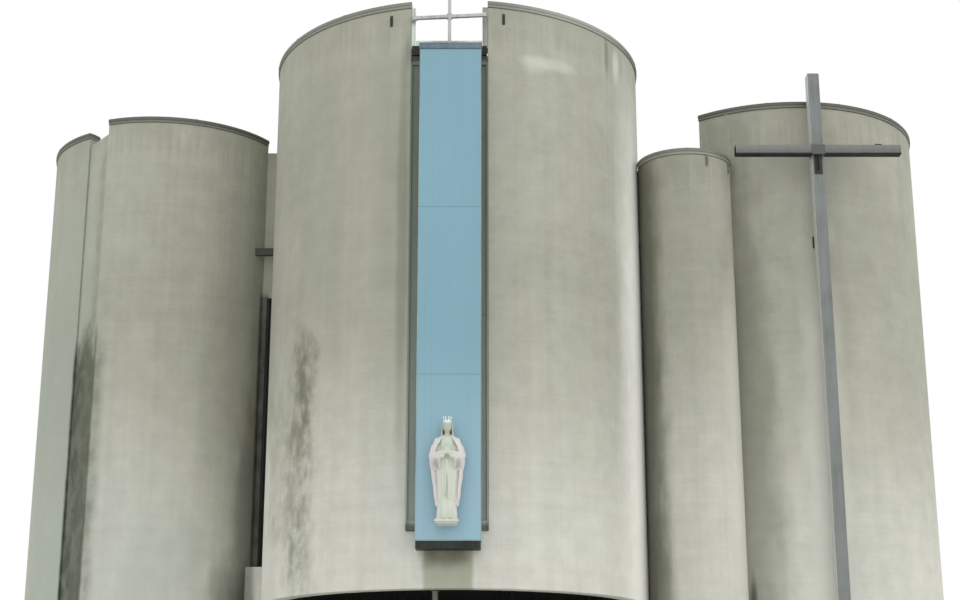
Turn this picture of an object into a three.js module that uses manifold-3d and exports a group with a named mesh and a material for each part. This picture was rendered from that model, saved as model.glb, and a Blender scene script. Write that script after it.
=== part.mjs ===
// A modern church of tall round concrete shells, as an assembly of named parts.
// Units are millimetres and +Z is up. The front faces -Y, and +X is to the right of someone facing it.
// The origin is on the ground, under the nave floor, level with the widest line of the front tower.
import * as THREE from "three";
import { mergeVertices } from "three/addons/utils/BufferGeometryUtils.js";
import Module from "manifold-3d";

const wasm = await Module();
wasm.setup();

// Driving dimensions
const GAP = 0.4;
const FACET = 3;
const COARSE_FACET = 6;
const WALL = 280;
const SHELL_TOP = 15400;
const COPING_HEIGHT = 140;
const COPING_OVERHANG = 30;
const FLOOR_TOP = 150;
const ROOF_LOW = 11450;
const ROOF_HIGH = 11750;
const INFILL_TOP = SHELL_TOP - 300;
// A length past every piece, for cutting away all of one side
const FAR = 9000;

const TOWER_TOP = 16460;
const TOWER_LOW = 4690;
const TOWER_ROOF_HIGH = 15200;
const TOWER_ROOF_THICK = 200;
const CEILING_LOW = TOWER_LOW + 60;
const CEILING_THICK = 220;
const PIER_ANGLE = 63;
const LEFT_PIER_END = 111;
const RIGHT_PIER_END = 90;
const TOWER_BACK_SPLIT = 171;
const TOWER_BACK_END = 256;

const SLOT_X = -610;
const SLOT_HALF = 765;
const SLOT_LOW = 5750;

const TURRET_TOP = 14120;
const TURRET_RADIUS = 990;
const TURRET_BEARING = 9.26;
const TURRET_WALL = 200;
const TURRET_ROOF_THICK = 150;

// A shell is part of a round wall: the centre of its circle, its outer radius and its top.
// Angles are in degrees from the front (-Y), and grow towards +X and on round the back.
// A long shell is made in two lengths that meet at its split angle.
const tower = { x: -500, y: 0, radius: 3980, top: TOWER_TOP };
const rightFront = { x: 6880, y: 1840, radius: 3070, top: SHELL_TOP, from: -42, split: 45, to: 135 };
const rightBack = { x: 6880, y: 6900, radius: 3070, top: SHELL_TOP, from: 45, split: 132, to: 219 };
const apse = { x: -100, y: 7600, radius: 4600, top: SHELL_TOP, from: 108, split: 180, to: 252 };
const leftBack = { x: -7100, y: 6900, radius: 3070, top: SHELL_TOP, from: 141, split: 228, to: 315 };
const leftSide = { x: -7370, y: 2850, radius: 2700, top: SHELL_TOP, from: 240, to: 327 };
const leftFront = { x: -7270, y: 2300, radius: 2700, top: SHELL_TOP, from: -21, to: 66 };

// The turret touches the tower, a little forward of the tower's widest line
const turretPlace = pointAt(tower, tower.radius + TURRET_RADIUS + 1, 90 - TURRET_BEARING);
const turret = { x: turretPlace.x, y: turretPlace.y, radius: TURRET_RADIUS, top: TURRET_TOP };

// The notch between the left front shell and the tower is closed by a thin wall at this depth
const NOTCH_Y = 1080;
const NOTCH_WALL = 200;
const NOTCH_LEFT = -5160;
const NOTCH_RIGHT = -4080;
const NOTCH_SLIT_LEFT = -4760;

// Window strips between the shells: sill, head and glass
const STRIP_SILL = 900;
const STRIP_HEAD = 11300;
const NOTCH_SILL = 5600;
const NOTCH_HEAD = 11640;
const STRIP_RECESS = 60;
const GLASS_RECESS = 140;
const GLASS_THICK = 30;
const NOTCH_GLASS_RECESS = 80;
const NOTCH_GLASS_EDGE = 20;

// Colours
const CONCRETE = 0xa9aa9b;
const DARK_METAL = 0x4a4d45;
const PANEL_BLUE = 0x84aab9;
const WHITE_STONE = 0xd9dcd8;
const STEEL_GREY = 0x80857e;
const GLASS_DARK = 0x2c332f;
const TIMBER_DARK = 0x3d332a;
const ROOFING = 0x6d6e69;
const FLOOR_GREY = 0x8c8b84;

const church = new THREE.Group();

function material(color, roughness, metalness = 0) {
  return new THREE.MeshStandardMaterial({ color, roughness, metalness });
}

const concrete = () => material(CONCRETE, 0.92);
const darkMetal = () => material(DARK_METAL, 0.55, 0.5);

function addMesh(name, geometry, look) {
  const mesh = new THREE.Mesh(geometry, look);
  mesh.name = name;
  church.add(mesh);
  return mesh;
}

// Booleans
function solid(geometry) {
  const bare = geometry.clone();
  bare.deleteAttribute("normal");
  bare.deleteAttribute("uv");
  const merged = mergeVertices(bare);
  return new wasm.Manifold(new wasm.Mesh({
    numProp: 3,
    vertProperties: new Float32Array(merged.attributes.position.array),
    triVerts: new Uint32Array(merged.index.array),
  }));
}

function geometryOf(manifold) {
  const mesh = manifold.getMesh();
  const geometry = new THREE.BufferGeometry();
  geometry.setAttribute("position", new THREE.BufferAttribute(new Float32Array(mesh.vertProperties), 3));
  geometry.setIndex(new THREE.BufferAttribute(new Uint32Array(mesh.triVerts), 1));
  geometry.computeVertexNormals();
  return geometry;
}

function joined(manifolds) {
  return manifolds.reduce((sum, next) => sum.add(next));
}

// Plain shapes
function extruded(points, low, high, holes = []) {
  const shape = new THREE.Shape(points);
  for (const hole of holes) {
    shape.holes.push(new THREE.Path(hole));
  }
  const geometry = new THREE.ExtrudeGeometry(shape, { depth: high - low, bevelEnabled: false });
  return geometry.translate(0, 0, low);
}

function box(x0, x1, y0, y1, z0, z1) {
  const geometry = new THREE.BoxGeometry(x1 - x0, y1 - y0, z1 - z0);
  return geometry.translate((x0 + x1) / 2, (y0 + y1) / 2, (z0 + z1) / 2);
}

function pointAt(shell, radius, degrees) {
  const angle = THREE.MathUtils.degToRad(degrees);
  return new THREE.Vector2(shell.x + radius * Math.sin(angle), shell.y - radius * Math.cos(angle));
}

// Points on a shell's circle, at every whole facet and at both ends
function arcPoints(shell, radius, from, to, facet = FACET) {
  const points = [pointAt(shell, radius, from)];
  for (let step = Math.floor(from / facet) + 1; step * facet < to; step += 1) {
    points.push(pointAt(shell, radius, step * facet));
  }
  points.push(pointAt(shell, radius, to));
  return points;
}

function circlePoints(shell, radius, facet) {
  return arcPoints(shell, radius, 0, 360, facet).slice(0, -1);
}

function arcWall(shell, from, to, low, high, extra = 0, facet = FACET) {
  const outer = arcPoints(shell, shell.radius + extra, from, to, facet);
  const inner = arcPoints(shell, shell.radius - WALL - extra, from, to, facet).reverse();
  return extruded([...outer, ...inner], low, high);
}

function ringWall(shell, thick, low, high, extra = 0) {
  const outer = circlePoints(shell, shell.radius + extra, COARSE_FACET);
  const inner = circlePoints(shell, shell.radius - thick - extra, COARSE_FACET);
  return extruded(outer, low, high, [inner]);
}

function disc(shell, radius, low, high, facet = COARSE_FACET) {
  return extruded(circlePoints(shell, radius, facet), low, high);
}

const wallTop = (shell) => shell.top - COPING_HEIGHT - GAP;

// The strip between the end of one shell and the start of the next, measured inwards from both faces
function stripShape(first, second, outset, inset, reach) {
  const ends = [
    [first, first.to + reach],
    [second, second.from - GAP / 40],
  ];
  const outer = ends.map(([shell, angle]) => pointAt(shell, shell.radius - outset, angle));
  const inner = ends.map(([shell, angle]) => pointAt(shell, shell.radius - inset, angle)).reverse();
  return [...outer, ...inner];
}

// Wall in the strip after a shell, cast in one with that shell
function stripWall(first, second, low, high) {
  return solid(extruded(stripShape(first, second, STRIP_RECESS, WALL - 20, -1), low, high));
}

function addStripGlass(name, first, second) {
  const shape = stripShape(first, second, GLASS_RECESS, GLASS_RECESS + GLASS_THICK, GAP / 40);
  addMesh(name, extruded(shape, STRIP_SILL + GAP, STRIP_HEAD - GAP), material(GLASS_DARK, 0.12));
}

// Clearances used to fit one piece to another
const turretClearance = joined([
  solid(disc(turret, turret.radius + GAP, -10, TURRET_TOP - COPING_HEIGHT)),
  solid(disc(turret, turret.radius + COPING_OVERHANG + GAP, wallTop(turret) - 10, TURRET_TOP + GAP)),
]);
const towerRoom = solid(disc(tower, tower.radius + GAP, -10, TOWER_TOP, FACET));
const slotVoid = solid(
  box(SLOT_X - SLOT_HALF, SLOT_X + SLOT_HALF, -FAR, -tower.radius / 2, SLOT_LOW, TOWER_TOP + 10),
);
const notchBehind = solid(box(-FAR, 0, NOTCH_Y, FAR, -10, TOWER_TOP + 10));
const notchWallRoom = solid(
  box(NOTCH_LEFT, NOTCH_RIGHT + GAP, NOTCH_Y, NOTCH_Y + NOTCH_WALL + GAP, -10, INFILL_TOP + GAP),
);

// Front tower: four pieces of shell round the porch and the slot, and the wall that closes it behind
function addTower() {
  const leftOfSlot = solid(box(-FAR, SLOT_X - GAP / 2, -FAR, FAR, 0, TOWER_TOP));
  const rightOfSlot = solid(box(SLOT_X + GAP / 2, FAR, -FAR, FAR, 0, TOWER_TOP));
  const top = wallTop(tower);
  const joint = GAP / 40;
  const sides = [
    ["tower_wall_left", leftOfSlot, -PIER_ANGLE + joint, 0],
    ["tower_wall_right", rightOfSlot, -FACET, PIER_ANGLE - joint],
  ];
  for (const [name, half, from, to] of sides) {
    const shell = solid(arcWall(tower, from, to, TOWER_LOW, top));
    addMesh(name, geometryOf(shell.intersect(half).subtract(slotVoid)), concrete());
  }

  const leftPier = solid(arcWall(tower, -LEFT_PIER_END, -PIER_ANGLE, 0, top)).subtract(notchBehind);
  addMesh("tower_pier_left", geometryOf(leftPier), concrete());
  addMesh("tower_pier_right", arcWall(tower, PIER_ANGLE, RIGHT_PIER_END, 0, top), concrete());

  const backPieces = [
    ["tower_back_right", RIGHT_PIER_END + joint, TOWER_BACK_SPLIT - joint],
    ["tower_back_left", TOWER_BACK_SPLIT, TOWER_BACK_END],
  ];
  for (const [name, from, to] of backPieces) {
    const shell = solid(arcWall(tower, from, to, ROOF_HIGH + GAP, top));
    const edge = solid(box(-FAR, tower.x, -FAR, NOTCH_Y + GAP, 0, TOWER_TOP));
    addMesh(name, geometryOf(shell.subtract(edge).subtract(notchWallRoom)), concrete());
  }

  const ring = ringWall(tower, WALL, TOWER_TOP - COPING_HEIGHT, TOWER_TOP, COPING_OVERHANG);
  addMesh("tower_coping", geometryOf(solid(ring).subtract(slotVoid)), darkMetal());

  const inside = tower.radius - WALL - GAP;
  const roof = disc(tower, inside, TOWER_ROOF_HIGH - TOWER_ROOF_THICK, TOWER_ROOF_HIGH);
  addMesh("tower_roof", roof, material(ROOFING, 0.95));
  const ceiling = extruded(arcPoints(tower, inside, -90, 90), CEILING_LOW, CEILING_LOW + CEILING_THICK);
  addMesh("porch_ceiling", ceiling, concrete());
}

// Small round turret beside the tower
function addTurret() {
  addMesh("turret_wall", ringWall(turret, TURRET_WALL, 0, wallTop(turret)), concrete());
  const roofTop = TURRET_TOP - COPING_HEIGHT - TURRET_ROOF_THICK;
  const roof = disc(turret, turret.radius - TURRET_WALL - GAP, roofTop - TURRET_ROOF_THICK, roofTop);
  addMesh("turret_roof", roof, material(ROOFING, 0.95));
  const ring = ringWall(turret, TURRET_WALL, TURRET_TOP - COPING_HEIGHT, TURRET_TOP, COPING_OVERHANG);
  addMesh("turret_coping", geometryOf(solid(ring).subtract(towerRoom)), darkMetal());
}

// A shell wall in one length, with the walls of the strip after it cast on
function addWall(name, shell, from, to, extras = [], cut = null) {
  let wall = solid(arcWall(shell, from, to, 0, wallTop(shell)));
  if (cut) {
    wall = wall.subtract(cut);
  }
  addMesh(name, geometryOf(joined([wall, ...extras])), concrete());
}

function addCoping(name, shell, cut = null) {
  const low = shell.top - COPING_HEIGHT;
  let coping = solid(arcWall(shell, shell.from, shell.to, low, shell.top, COPING_OVERHANG, COARSE_FACET));
  if (cut) {
    coping = coping.subtract(cut);
  }
  addMesh(`${name}_coping`, geometryOf(coping), darkMetal());
}

function addShells() {
  const joint = GAP / 40;
  const pairs = [
    ["right_front", rightFront, "front", "side", rightBack, turretClearance],
    ["right_back", rightBack, "side", "back", apse, null],
    ["apse", apse, "right", "left", leftBack, null],
    ["left_back", leftBack, "back", "side", leftSide, null],
  ];
  for (const [name, shell, firstPlace, secondPlace, next, cut] of pairs) {
    addWall(`${name}_wall_${firstPlace}`, shell, shell.from, shell.split - joint, [], cut);
    const overAndUnder = [
      stripWall(shell, next, 0, STRIP_SILL),
      stripWall(shell, next, STRIP_HEAD, INFILL_TOP),
    ];
    addWall(`${name}_wall_${secondPlace}`, shell, shell.split, shell.to, overAndUnder);
  }
  const nextTurn = { ...leftFront, from: leftFront.from + 360, to: leftFront.to + 360 };
  const leftInfill = stripWall(leftSide, nextTurn, 0, INFILL_TOP);
  addWall("left_side_wall", leftSide, leftSide.from, leftSide.to, [leftInfill]);

  const beyondNotch = solid(box(-FAR, 0, NOTCH_Y + 10, FAR, -10, SHELL_TOP + 10));
  const notchWall = (right, low, high) => solid(
    box(NOTCH_LEFT, right, NOTCH_Y + GAP, NOTCH_Y + NOTCH_WALL, low, high),
  );
  const notchWalls = [
    notchWall(NOTCH_RIGHT, 0, NOTCH_SILL),
    notchWall(NOTCH_SLIT_LEFT, NOTCH_SILL, NOTCH_HEAD),
    notchWall(NOTCH_RIGHT, NOTCH_HEAD, INFILL_TOP),
  ];
  addWall("left_front_wall", leftFront, leftFront.from, leftFront.to, notchWalls, beyondNotch);

  addCoping("right_front", rightFront);
  addCoping("right_back", rightBack);
  addCoping("apse", apse);
  addCoping("left_back", leftBack);
  addCoping("left_side", leftSide);
  addCoping("left_front", leftFront, beyondNotch);

  addStripGlass("right_window", rightFront, rightBack);
  addStripGlass("back_window_right", rightBack, apse);
  addStripGlass("back_window_left", apse, leftBack);
  addStripGlass("left_back_window", leftBack, leftSide);
  const glassFront = NOTCH_Y + NOTCH_GLASS_RECESS;
  const notchGlass = box(NOTCH_SLIT_LEFT + GAP, NOTCH_RIGHT - NOTCH_GLASS_EDGE,
    glassFront, glassFront + GLASS_THICK, NOTCH_SILL + GAP, NOTCH_HEAD - GAP);
  addMesh("notch_window", notchGlass, material(GLASS_DARK, 0.12));
}

// Low pier and steel tie in the notch beside the tower
const NOTCH_PIER_LEFT = -4910;
const NOTCH_PIER_FRONT = 350;
const NOTCH_TIE_FRONT = 790;
const NOTCH_TIE_DEPTH = 100;
const NOTCH_TIE_LOW = 12560;
const NOTCH_TIE_HEIGHT = 160;

function addNotchPieces() {
  const shellRoom = solid(disc(leftFront, leftFront.radius + GAP, -10, TOWER_TOP, FACET));
  const right = tower.x - tower.radius + WALL;
  const pier = solid(box(NOTCH_PIER_LEFT, right, NOTCH_PIER_FRONT, NOTCH_Y, 0, NOTCH_SILL - 20));
  addMesh("notch_pier", geometryOf(pier.subtract(towerRoom).subtract(shellRoom)), concrete());
  const tie = solid(box(NOTCH_LEFT, right, NOTCH_TIE_FRONT, NOTCH_TIE_FRONT + NOTCH_TIE_DEPTH,
    NOTCH_TIE_LOW, NOTCH_TIE_LOW + NOTCH_TIE_HEIGHT));
  addMesh("notch_tie", geometryOf(tie.subtract(towerRoom).subtract(shellRoom)), darkMetal());
}

// Outline of the space inside all the shells, for the floor and the roof
function insideOutline() {
  const inner = (shell, from, to) => arcPoints(shell, shell.radius - WALL - GAP, from, to, COARSE_FACET);
  return [
    ...inner(tower, -105, 89.9),
    new THREE.Vector2(tower.x + tower.radius - WALL - 20, 3 * GAP),
    new THREE.Vector2(tower.x + tower.radius + 3 * GAP, 3 * GAP),
    new THREE.Vector2(tower.x + tower.radius + 3 * GAP, turret.y + turret.radius / 4),
    new THREE.Vector2(turret.x, turret.y + turret.radius / 4),
    ...inner(rightFront, rightFront.from, rightFront.to),
    ...inner(rightBack, rightBack.from, rightBack.to),
    ...inner(apse, apse.from, apse.to),
    ...inner(leftBack, leftBack.from, leftBack.to),
    ...inner(leftSide, leftSide.from, leftSide.to),
    ...inner(leftFront, leftFront.from, 57),
    new THREE.Vector2(NOTCH_LEFT - 50, NOTCH_Y + 30),
    new THREE.Vector2(NOTCH_LEFT - 50, NOTCH_Y + NOTCH_WALL + GAP),
    new THREE.Vector2(NOTCH_RIGHT + 2 * GAP, NOTCH_Y + NOTCH_WALL + GAP),
    new THREE.Vector2(NOTCH_RIGHT + 90, NOTCH_Y + 20),
  ];
}

function addFloorAndRoof() {
  const floor = solid(extruded(insideOutline(), 0, FLOOR_TOP)).subtract(turretClearance);
  addMesh("floor_slab", geometryOf(floor), material(FLOOR_GREY, 0.9));
  const roof = solid(extruded(insideOutline(), ROOF_LOW, ROOF_HIGH)).subtract(turretClearance);
  addMesh("nave_roof", geometryOf(roof), material(ROOFING, 0.95));
}

// Glazed screen with a pair of doors, across the back of the porch
const SCREEN_FRONT = -160;
const SCREEN_BACK = -40;
const SCREEN_HALF = 3690;
const SCREEN_BAR = 100;
const DOOR_WIDTH = 1000;
const DOOR_HEAD = 2650;
const DOOR_GAP = 6;
const SCREEN_GLASS_THICK = 20;
const SCREEN_GLASS_LAP = 40;

function addEntrance() {
  const low = FLOOR_TOP + GAP;
  const high = CEILING_LOW - GAP;
  const left = tower.x - SCREEN_HALF;
  const right = tower.x + SCREEN_HALF;
  const doorLeft = tower.x - DOOR_WIDTH - SCREEN_BAR / 2;
  const doorRight = tower.x + DOOR_WIDTH + SCREEN_BAR / 2;
  const half = SCREEN_BAR / 2;
  const bar = (x0, x1, z0, z1) => solid(box(x0, x1, SCREEN_FRONT, SCREEN_BACK, z0, z1));
  const post = (x) => bar(x - half, x + half, low, high);
  const rail = (x0, x1, z) => bar(x0, x1, z, z + SCREEN_BAR);
  const sidePost = (doorLeft + left) / 2;
  const posts = [left + half, sidePost, doorLeft - half];
  posts.push(...posts.map((x) => 2 * tower.x - x));
  const rails = [
    rail(left, doorLeft, low),
    rail(doorRight, right, low),
    rail(left, right, DOOR_HEAD),
    rail(left, right, high - SCREEN_BAR),
  ];
  const aboveDoors = bar(tower.x - half, tower.x + half, DOOR_HEAD, high);
  addMesh("entrance_frame", geometryOf(joined([...posts.map(post), ...rails, aboveDoors])), darkMetal());

  const lap = SCREEN_GLASS_LAP;
  const corners = [
    [left + lap, low], [doorLeft - lap, low], [doorLeft - lap, DOOR_HEAD + lap],
    [doorRight + lap, DOOR_HEAD + lap], [doorRight + lap, low],
    [right - lap, low], [right - lap, high], [left + lap, high],
  ];
  const glass = extruded(corners.map(([x, z]) => new THREE.Vector2(x, z)), 0, SCREEN_GLASS_THICK);
  glass.rotateX(Math.PI / 2).translate(0, SCREEN_BACK + GAP + SCREEN_GLASS_THICK, 0);
  addMesh("entrance_glass", glass, material(GLASS_DARK, 0.12));

  const leaves = [
    ["door_left", doorLeft + GAP, tower.x - DOOR_GAP / 2],
    ["door_right", tower.x + DOOR_GAP / 2, doorRight - GAP],
  ];
  for (const [name, x0, x1] of leaves) {
    const leaf = box(x0, x1, SCREEN_FRONT + 30, SCREEN_BACK - 30, low, DOOR_HEAD - GAP);
    addMesh(name, leaf, material(TIMBER_DARK, 0.6));
  }
}

// Tall blue panel that hangs in front of the slot, on a channel at each side
const PANEL_X = -580;
const PANEL_HALF = 605;
const PANEL_LOW = 5500;
const PANEL_HIGH = 15320;
const PANEL_FRONT = -4400;
const PANEL_CAP = 130;
const PANEL_CAP_OVERHANG = 15;
const PANEL_BACK = -tower.radius - GAP - 1;
const CHANNEL_LAP = 90;
const CHANNEL_BACK = -3760;
const PANEL_FOOT_HEIGHT = 125;
const PANEL_FOOT_INSET = 10;

function addPanel() {
  const panel = box(PANEL_X - PANEL_HALF, PANEL_X + PANEL_HALF, PANEL_FRONT, PANEL_BACK,
    PANEL_LOW, PANEL_HIGH - PANEL_CAP - GAP);
  addMesh("blue_panel", panel, material(PANEL_BLUE, 0.6));
  const edging = (outset, z0, z1) => {
    const half = PANEL_HALF + outset;
    return box(PANEL_X - half, PANEL_X + half, PANEL_FRONT - outset, PANEL_BACK, z0, z1);
  };
  addMesh("panel_cap", edging(PANEL_CAP_OVERHANG, PANEL_HIGH - PANEL_CAP, PANEL_HIGH), darkMetal());
  const footLow = PANEL_LOW - PANEL_FOOT_HEIGHT;
  addMesh("panel_foot", edging(-PANEL_FOOT_INSET, footLow, PANEL_LOW - GAP), darkMetal());
  const low = SLOT_LOW + GAP;
  const high = PANEL_HIGH - 100;
  const lap = PANEL_HALF - CHANNEL_LAP;
  const edge = SLOT_HALF - GAP;
  addMesh("panel_channel_left",
    box(SLOT_X - edge, PANEL_X - lap, PANEL_BACK + GAP, CHANNEL_BACK, low, high), darkMetal());
  addMesh("panel_channel_right",
    box(PANEL_X + lap, SLOT_X + edge, PANEL_BACK + GAP, CHANNEL_BACK, low, high), darkMetal());
}

// Thin cross above the panel. Its bar is fixed to both sides of the slot, a little out of square.
const SMALL_CROSS_Y = -4050;
const SMALL_CROSS_TOP = 16800;
const SMALL_CROSS_BAR_LEVEL = 16050;
const SMALL_CROSS_BAR_TURN = 6;
const SMALL_CROSS_BAR = 80;
const SMALL_CROSS_FOOT_HEIGHT = 140;

function addSmallCross() {
  const half = SMALL_CROSS_BAR / 2;
  const footHalf = half + 25;
  const post = solid(box(-half, half, -half, half, PANEL_HIGH + GAP, SMALL_CROSS_TOP));
  const foot = solid(box(-footHalf, footHalf, -footHalf, footHalf, PANEL_HIGH + GAP,
    PANEL_HIGH + SMALL_CROSS_FOOT_HEIGHT));
  const level = SMALL_CROSS_BAR_LEVEL;
  const turn = THREE.MathUtils.degToRad(-SMALL_CROSS_BAR_TURN);
  const reach = SLOT_HALF + 100;
  const bar = solid(box(-reach, reach, -half, half, level - half, level + half).rotateZ(turn));
  const insideSlot = solid(box(-SLOT_HALF + GAP, SLOT_HALF - GAP, -FAR, FAR, 0, FAR + level));
  const cross = joined([post, foot, bar.intersect(insideSlot)]).translate([SLOT_X, SMALL_CROSS_Y, 0]);
  addMesh("small_cross", geometryOf(cross), material(STEEL_GREY, 0.4, 0.6));
}

// Statue of a robed woman in a mantle, her hands joined, on a plinth fixed to the panel
const STATUE_X = -600;
const PLINTH_LOW = 5760;
const PLINTH_HIGH = 5840;
const PLINTH_DEPTH = 440;
const PLINTH_HALF = 215;
const STATUE_Y = PANEL_FRONT - 200;
const STATUE_HEIGHT = 1910;

function ellipsoid(x, y, z, rx, ry, rz) {
  const ball = new THREE.SphereGeometry(1, 14, 10);
  return solid(ball.scale(rx, ry, rz).rotateX(Math.PI / 2).translate(x, y, z));
}

function limb(start, end, startRadius, endRadius) {
  const from = new THREE.Vector3(...start);
  const to = new THREE.Vector3(...end);
  const direction = to.clone().sub(from);
  const cylinder = new THREE.CylinderGeometry(endRadius, startRadius, direction.length(), 10);
  const turn = new THREE.Quaternion().setFromUnitVectors(new THREE.Vector3(0, 1, 0), direction.normalize());
  cylinder.applyQuaternion(turn);
  const middle = from.add(to).multiplyScalar(0.5);
  return solid(cylinder.translate(middle.x, middle.y, middle.z));
}

function addStatue() {
  const plinth = box(STATUE_X - PLINTH_HALF, STATUE_X + PLINTH_HALF, PANEL_FRONT - PLINTH_DEPTH,
    PANEL_FRONT - GAP, PLINTH_LOW, PLINTH_HIGH);
  addMesh("statue_plinth", plinth, material(WHITE_STONE, 0.7));

  // Radius of the gown and of the mantle at each share of the statue's height, from hem to neck
  const gown = [[0, 0], [0, 170], [0.04, 165], [0.25, 148], [0.56, 128], [0.68, 152], [0.76, 170], [0.8, 105],
    [0.82, 56], [0.86, 50], [0.86, 0]];
  const mantle = [[0.13, 0], [0.13, 195], [0.28, 228], [0.45, 272], [0.6, 312], [0.68, 292], [0.75, 235],
    [0.8, 130], [0.82, 0]];
  const turned = (rows, depth, back) => {
    const profile = rows.map(([share, radius]) => new THREE.Vector2(radius, share * STATUE_HEIGHT));
    const lathe = new THREE.LatheGeometry(profile, 20).rotateX(Math.PI / 2).scale(1, depth, 1);
    return solid(lathe.translate(0, back, PLINTH_HIGH + GAP));
  };
  const behind = solid(box(-FAR, FAR, -20, FAR, 0, FAR));
  const pieces = [turned(gown, 0.84, 0), turned(mantle, 0.56, 0).intersect(behind)];

  const level = (share) => PLINTH_HIGH + share * STATUE_HEIGHT;
  for (const side of [-1, 1]) {
    const shoulder = [side * 165, 0, level(0.76)];
    const elbow = [side * 255, -35, level(0.61)];
    const wrist = [side * 30, -175, level(0.64)];
    pieces.push(limb(shoulder, elbow, 65, 65));
    pieces.push(limb(elbow, wrist, 65, 45));
    pieces.push(ellipsoid(...elbow, 66, 66, 66));
    pieces.push(limb([side * 190, -85, level(0.6)], [side * 165, -85, level(0.49)], 60, 25));
  }
  pieces.push(limb([0, -175, level(0.63)], [0, -200, level(0.72)], 42, 16));
  pieces.push(limb([0, 0, level(0.82)], [0, -10, level(0.87)], 62, 55));
  pieces.push(ellipsoid(0, -12, level(0.89), 80, 96, 120));
  pieces.push(ellipsoid(0, 12, level(0.895), 104, 112, 132));
  pieces.push(ellipsoid(0, 12, level(0.81), 160, 118, 95));
  pieces.push(limb([0, 0, level(0.94)], [0, 0, level(1)], 70, 76));
  const statue = joined(pieces);
  addMesh("statue", geometryOf(statue).translate(STATUE_X, STATUE_Y, 0), material(WHITE_STONE, 0.7));
}

// Free-standing steel cross before the right front shell, tied to the wall
const CROSS_X = 7140;
const CROSS_Y = -1550;
const CROSS_TOP = 15870;
const CROSS_HALF = 125;
const CROSS_ARM_LEVEL = 14090;
const CROSS_ARM_Y = CROSS_Y - 135;
const CROSS_ARM_HALF = 1745;
const CROSS_ARM_DEPTH = 190;
const CROSS_ARM_HEIGHT = 200;
const CROSS_TIE_LEVELS = [4200, 12200];
const CROSS_TIE_HALF = 60;

function beam(x, halfX, y, halfY, low, high) {
  return solid(box(x - halfX, x + halfX, y - halfY, y + halfY, low, high));
}

function addSteelCross() {
  const post = beam(CROSS_X, CROSS_HALF, CROSS_Y, CROSS_HALF, 0, CROSS_TOP);
  const arm = beam(CROSS_X, CROSS_ARM_HALF, CROSS_ARM_Y, CROSS_ARM_DEPTH / 2,
    CROSS_ARM_LEVEL - CROSS_ARM_HEIGHT / 2, CROSS_ARM_LEVEL + CROSS_ARM_HEIGHT / 2);
  const wallRoom = solid(disc(rightFront, rightFront.radius + GAP, -10, SHELL_TOP, FACET));
  const tieMiddle = CROSS_Y / 2;
  const ties = CROSS_TIE_LEVELS.map((level) => {
    const half = CROSS_TIE_HALF;
    const tie = beam(CROSS_X, half, tieMiddle, -tieMiddle, level - half, level + half);
    return tie.subtract(wallRoom);
  });
  addMesh("steel_cross", geometryOf(joined([post, arm, ...ties])), material(STEEL_GREY, 0.5, 0.6));
}

addFloorAndRoof();
addTower();
addTurret();
addShells();
addNotchPieces();
addEntrance();
addPanel();
addSmallCross();
addStatue();
addSteelCross();

export default church;
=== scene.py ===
"""Looks of a modern church of tall round concrete shells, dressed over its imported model.

Units are metres and +Z is up. The front faces -Y, and +X is to the right of someone facing it.
Angles round a shell are in degrees from the front, and grow towards +X and on round the back.
Colours are given as they look on a screen, 0 to 255.
"""

from dataclasses import dataclass
import math

import bmesh
import bpy
from mathutils import Matrix, Vector


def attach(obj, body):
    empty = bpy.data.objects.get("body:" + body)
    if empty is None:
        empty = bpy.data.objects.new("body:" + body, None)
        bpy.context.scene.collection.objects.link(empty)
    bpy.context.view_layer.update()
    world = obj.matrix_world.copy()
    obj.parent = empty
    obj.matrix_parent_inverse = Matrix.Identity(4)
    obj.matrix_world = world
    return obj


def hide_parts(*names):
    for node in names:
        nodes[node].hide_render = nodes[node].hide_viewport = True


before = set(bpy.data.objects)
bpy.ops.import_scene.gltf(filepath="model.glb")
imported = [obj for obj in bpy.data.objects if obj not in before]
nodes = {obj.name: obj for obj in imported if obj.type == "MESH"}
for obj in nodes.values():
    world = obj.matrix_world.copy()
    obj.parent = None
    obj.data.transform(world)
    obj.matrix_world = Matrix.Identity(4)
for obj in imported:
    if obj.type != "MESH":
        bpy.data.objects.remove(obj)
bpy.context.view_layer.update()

# Driving dimensions in metres, and angles in degrees
# Walls, copings and roofs
WALL = 0.28
COPING_HEIGHT = 0.14
COPING_APRON = 0.06
COPING_OVERHANG = 0.03
STRAPS_APART = 1.6
STRAP_HALF = 0.035
STRAP_THICK = 0.003
SHELL_TOP = 15.40
TOWER_TOP = 16.46
TOWER_LOW = 4.69
TOWER_BACK_LOW = 11.751
TOWER_ROOF = 15.2
NAVE_ROOF = 11.75
FELT_THICK = 0.012
FELT_HEIGHT = 0.30
TURRET_TOP = 14.12
TURRET_RADIUS = 0.99
TURRET_BEARING = 9.26
TURRET_WALL = 0.20
PIER_ANGLE = 63.0
RIGHT_PIER_END = 90.0
# Slot, notch and window strips
SLOT_X = -0.61
SLOT_HALF = 0.765
SLOT_LOW = 5.75
NOTCH_Y = 1.08
SILL = 0.90
HEAD = 11.30
NOTCH_SILL = 5.60
NOTCH_HEAD = 11.64
NOTCH_LEFT = -5.16
NOTCH_RIGHT = -4.08
SLIT_LEFT = -4.76
INFILL_TOP = 15.10
INFILL_INSET = 0.06
JAMB = 0.05
# Panel and its channels
PANEL_X = -0.58
PANEL_HALF = 0.605
PANEL_LOW = 5.50
PANEL_HIGH = 15.32
PANEL_FRONT = -4.40
PANEL_BACK = -3.9814
PANEL_CAP = 0.13
CHANNEL_LOW = 5.75
CHANNEL_HIGH = 15.22
CHANNEL_FRONT = -3.98
CHANNEL_BACK = -3.76
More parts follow.
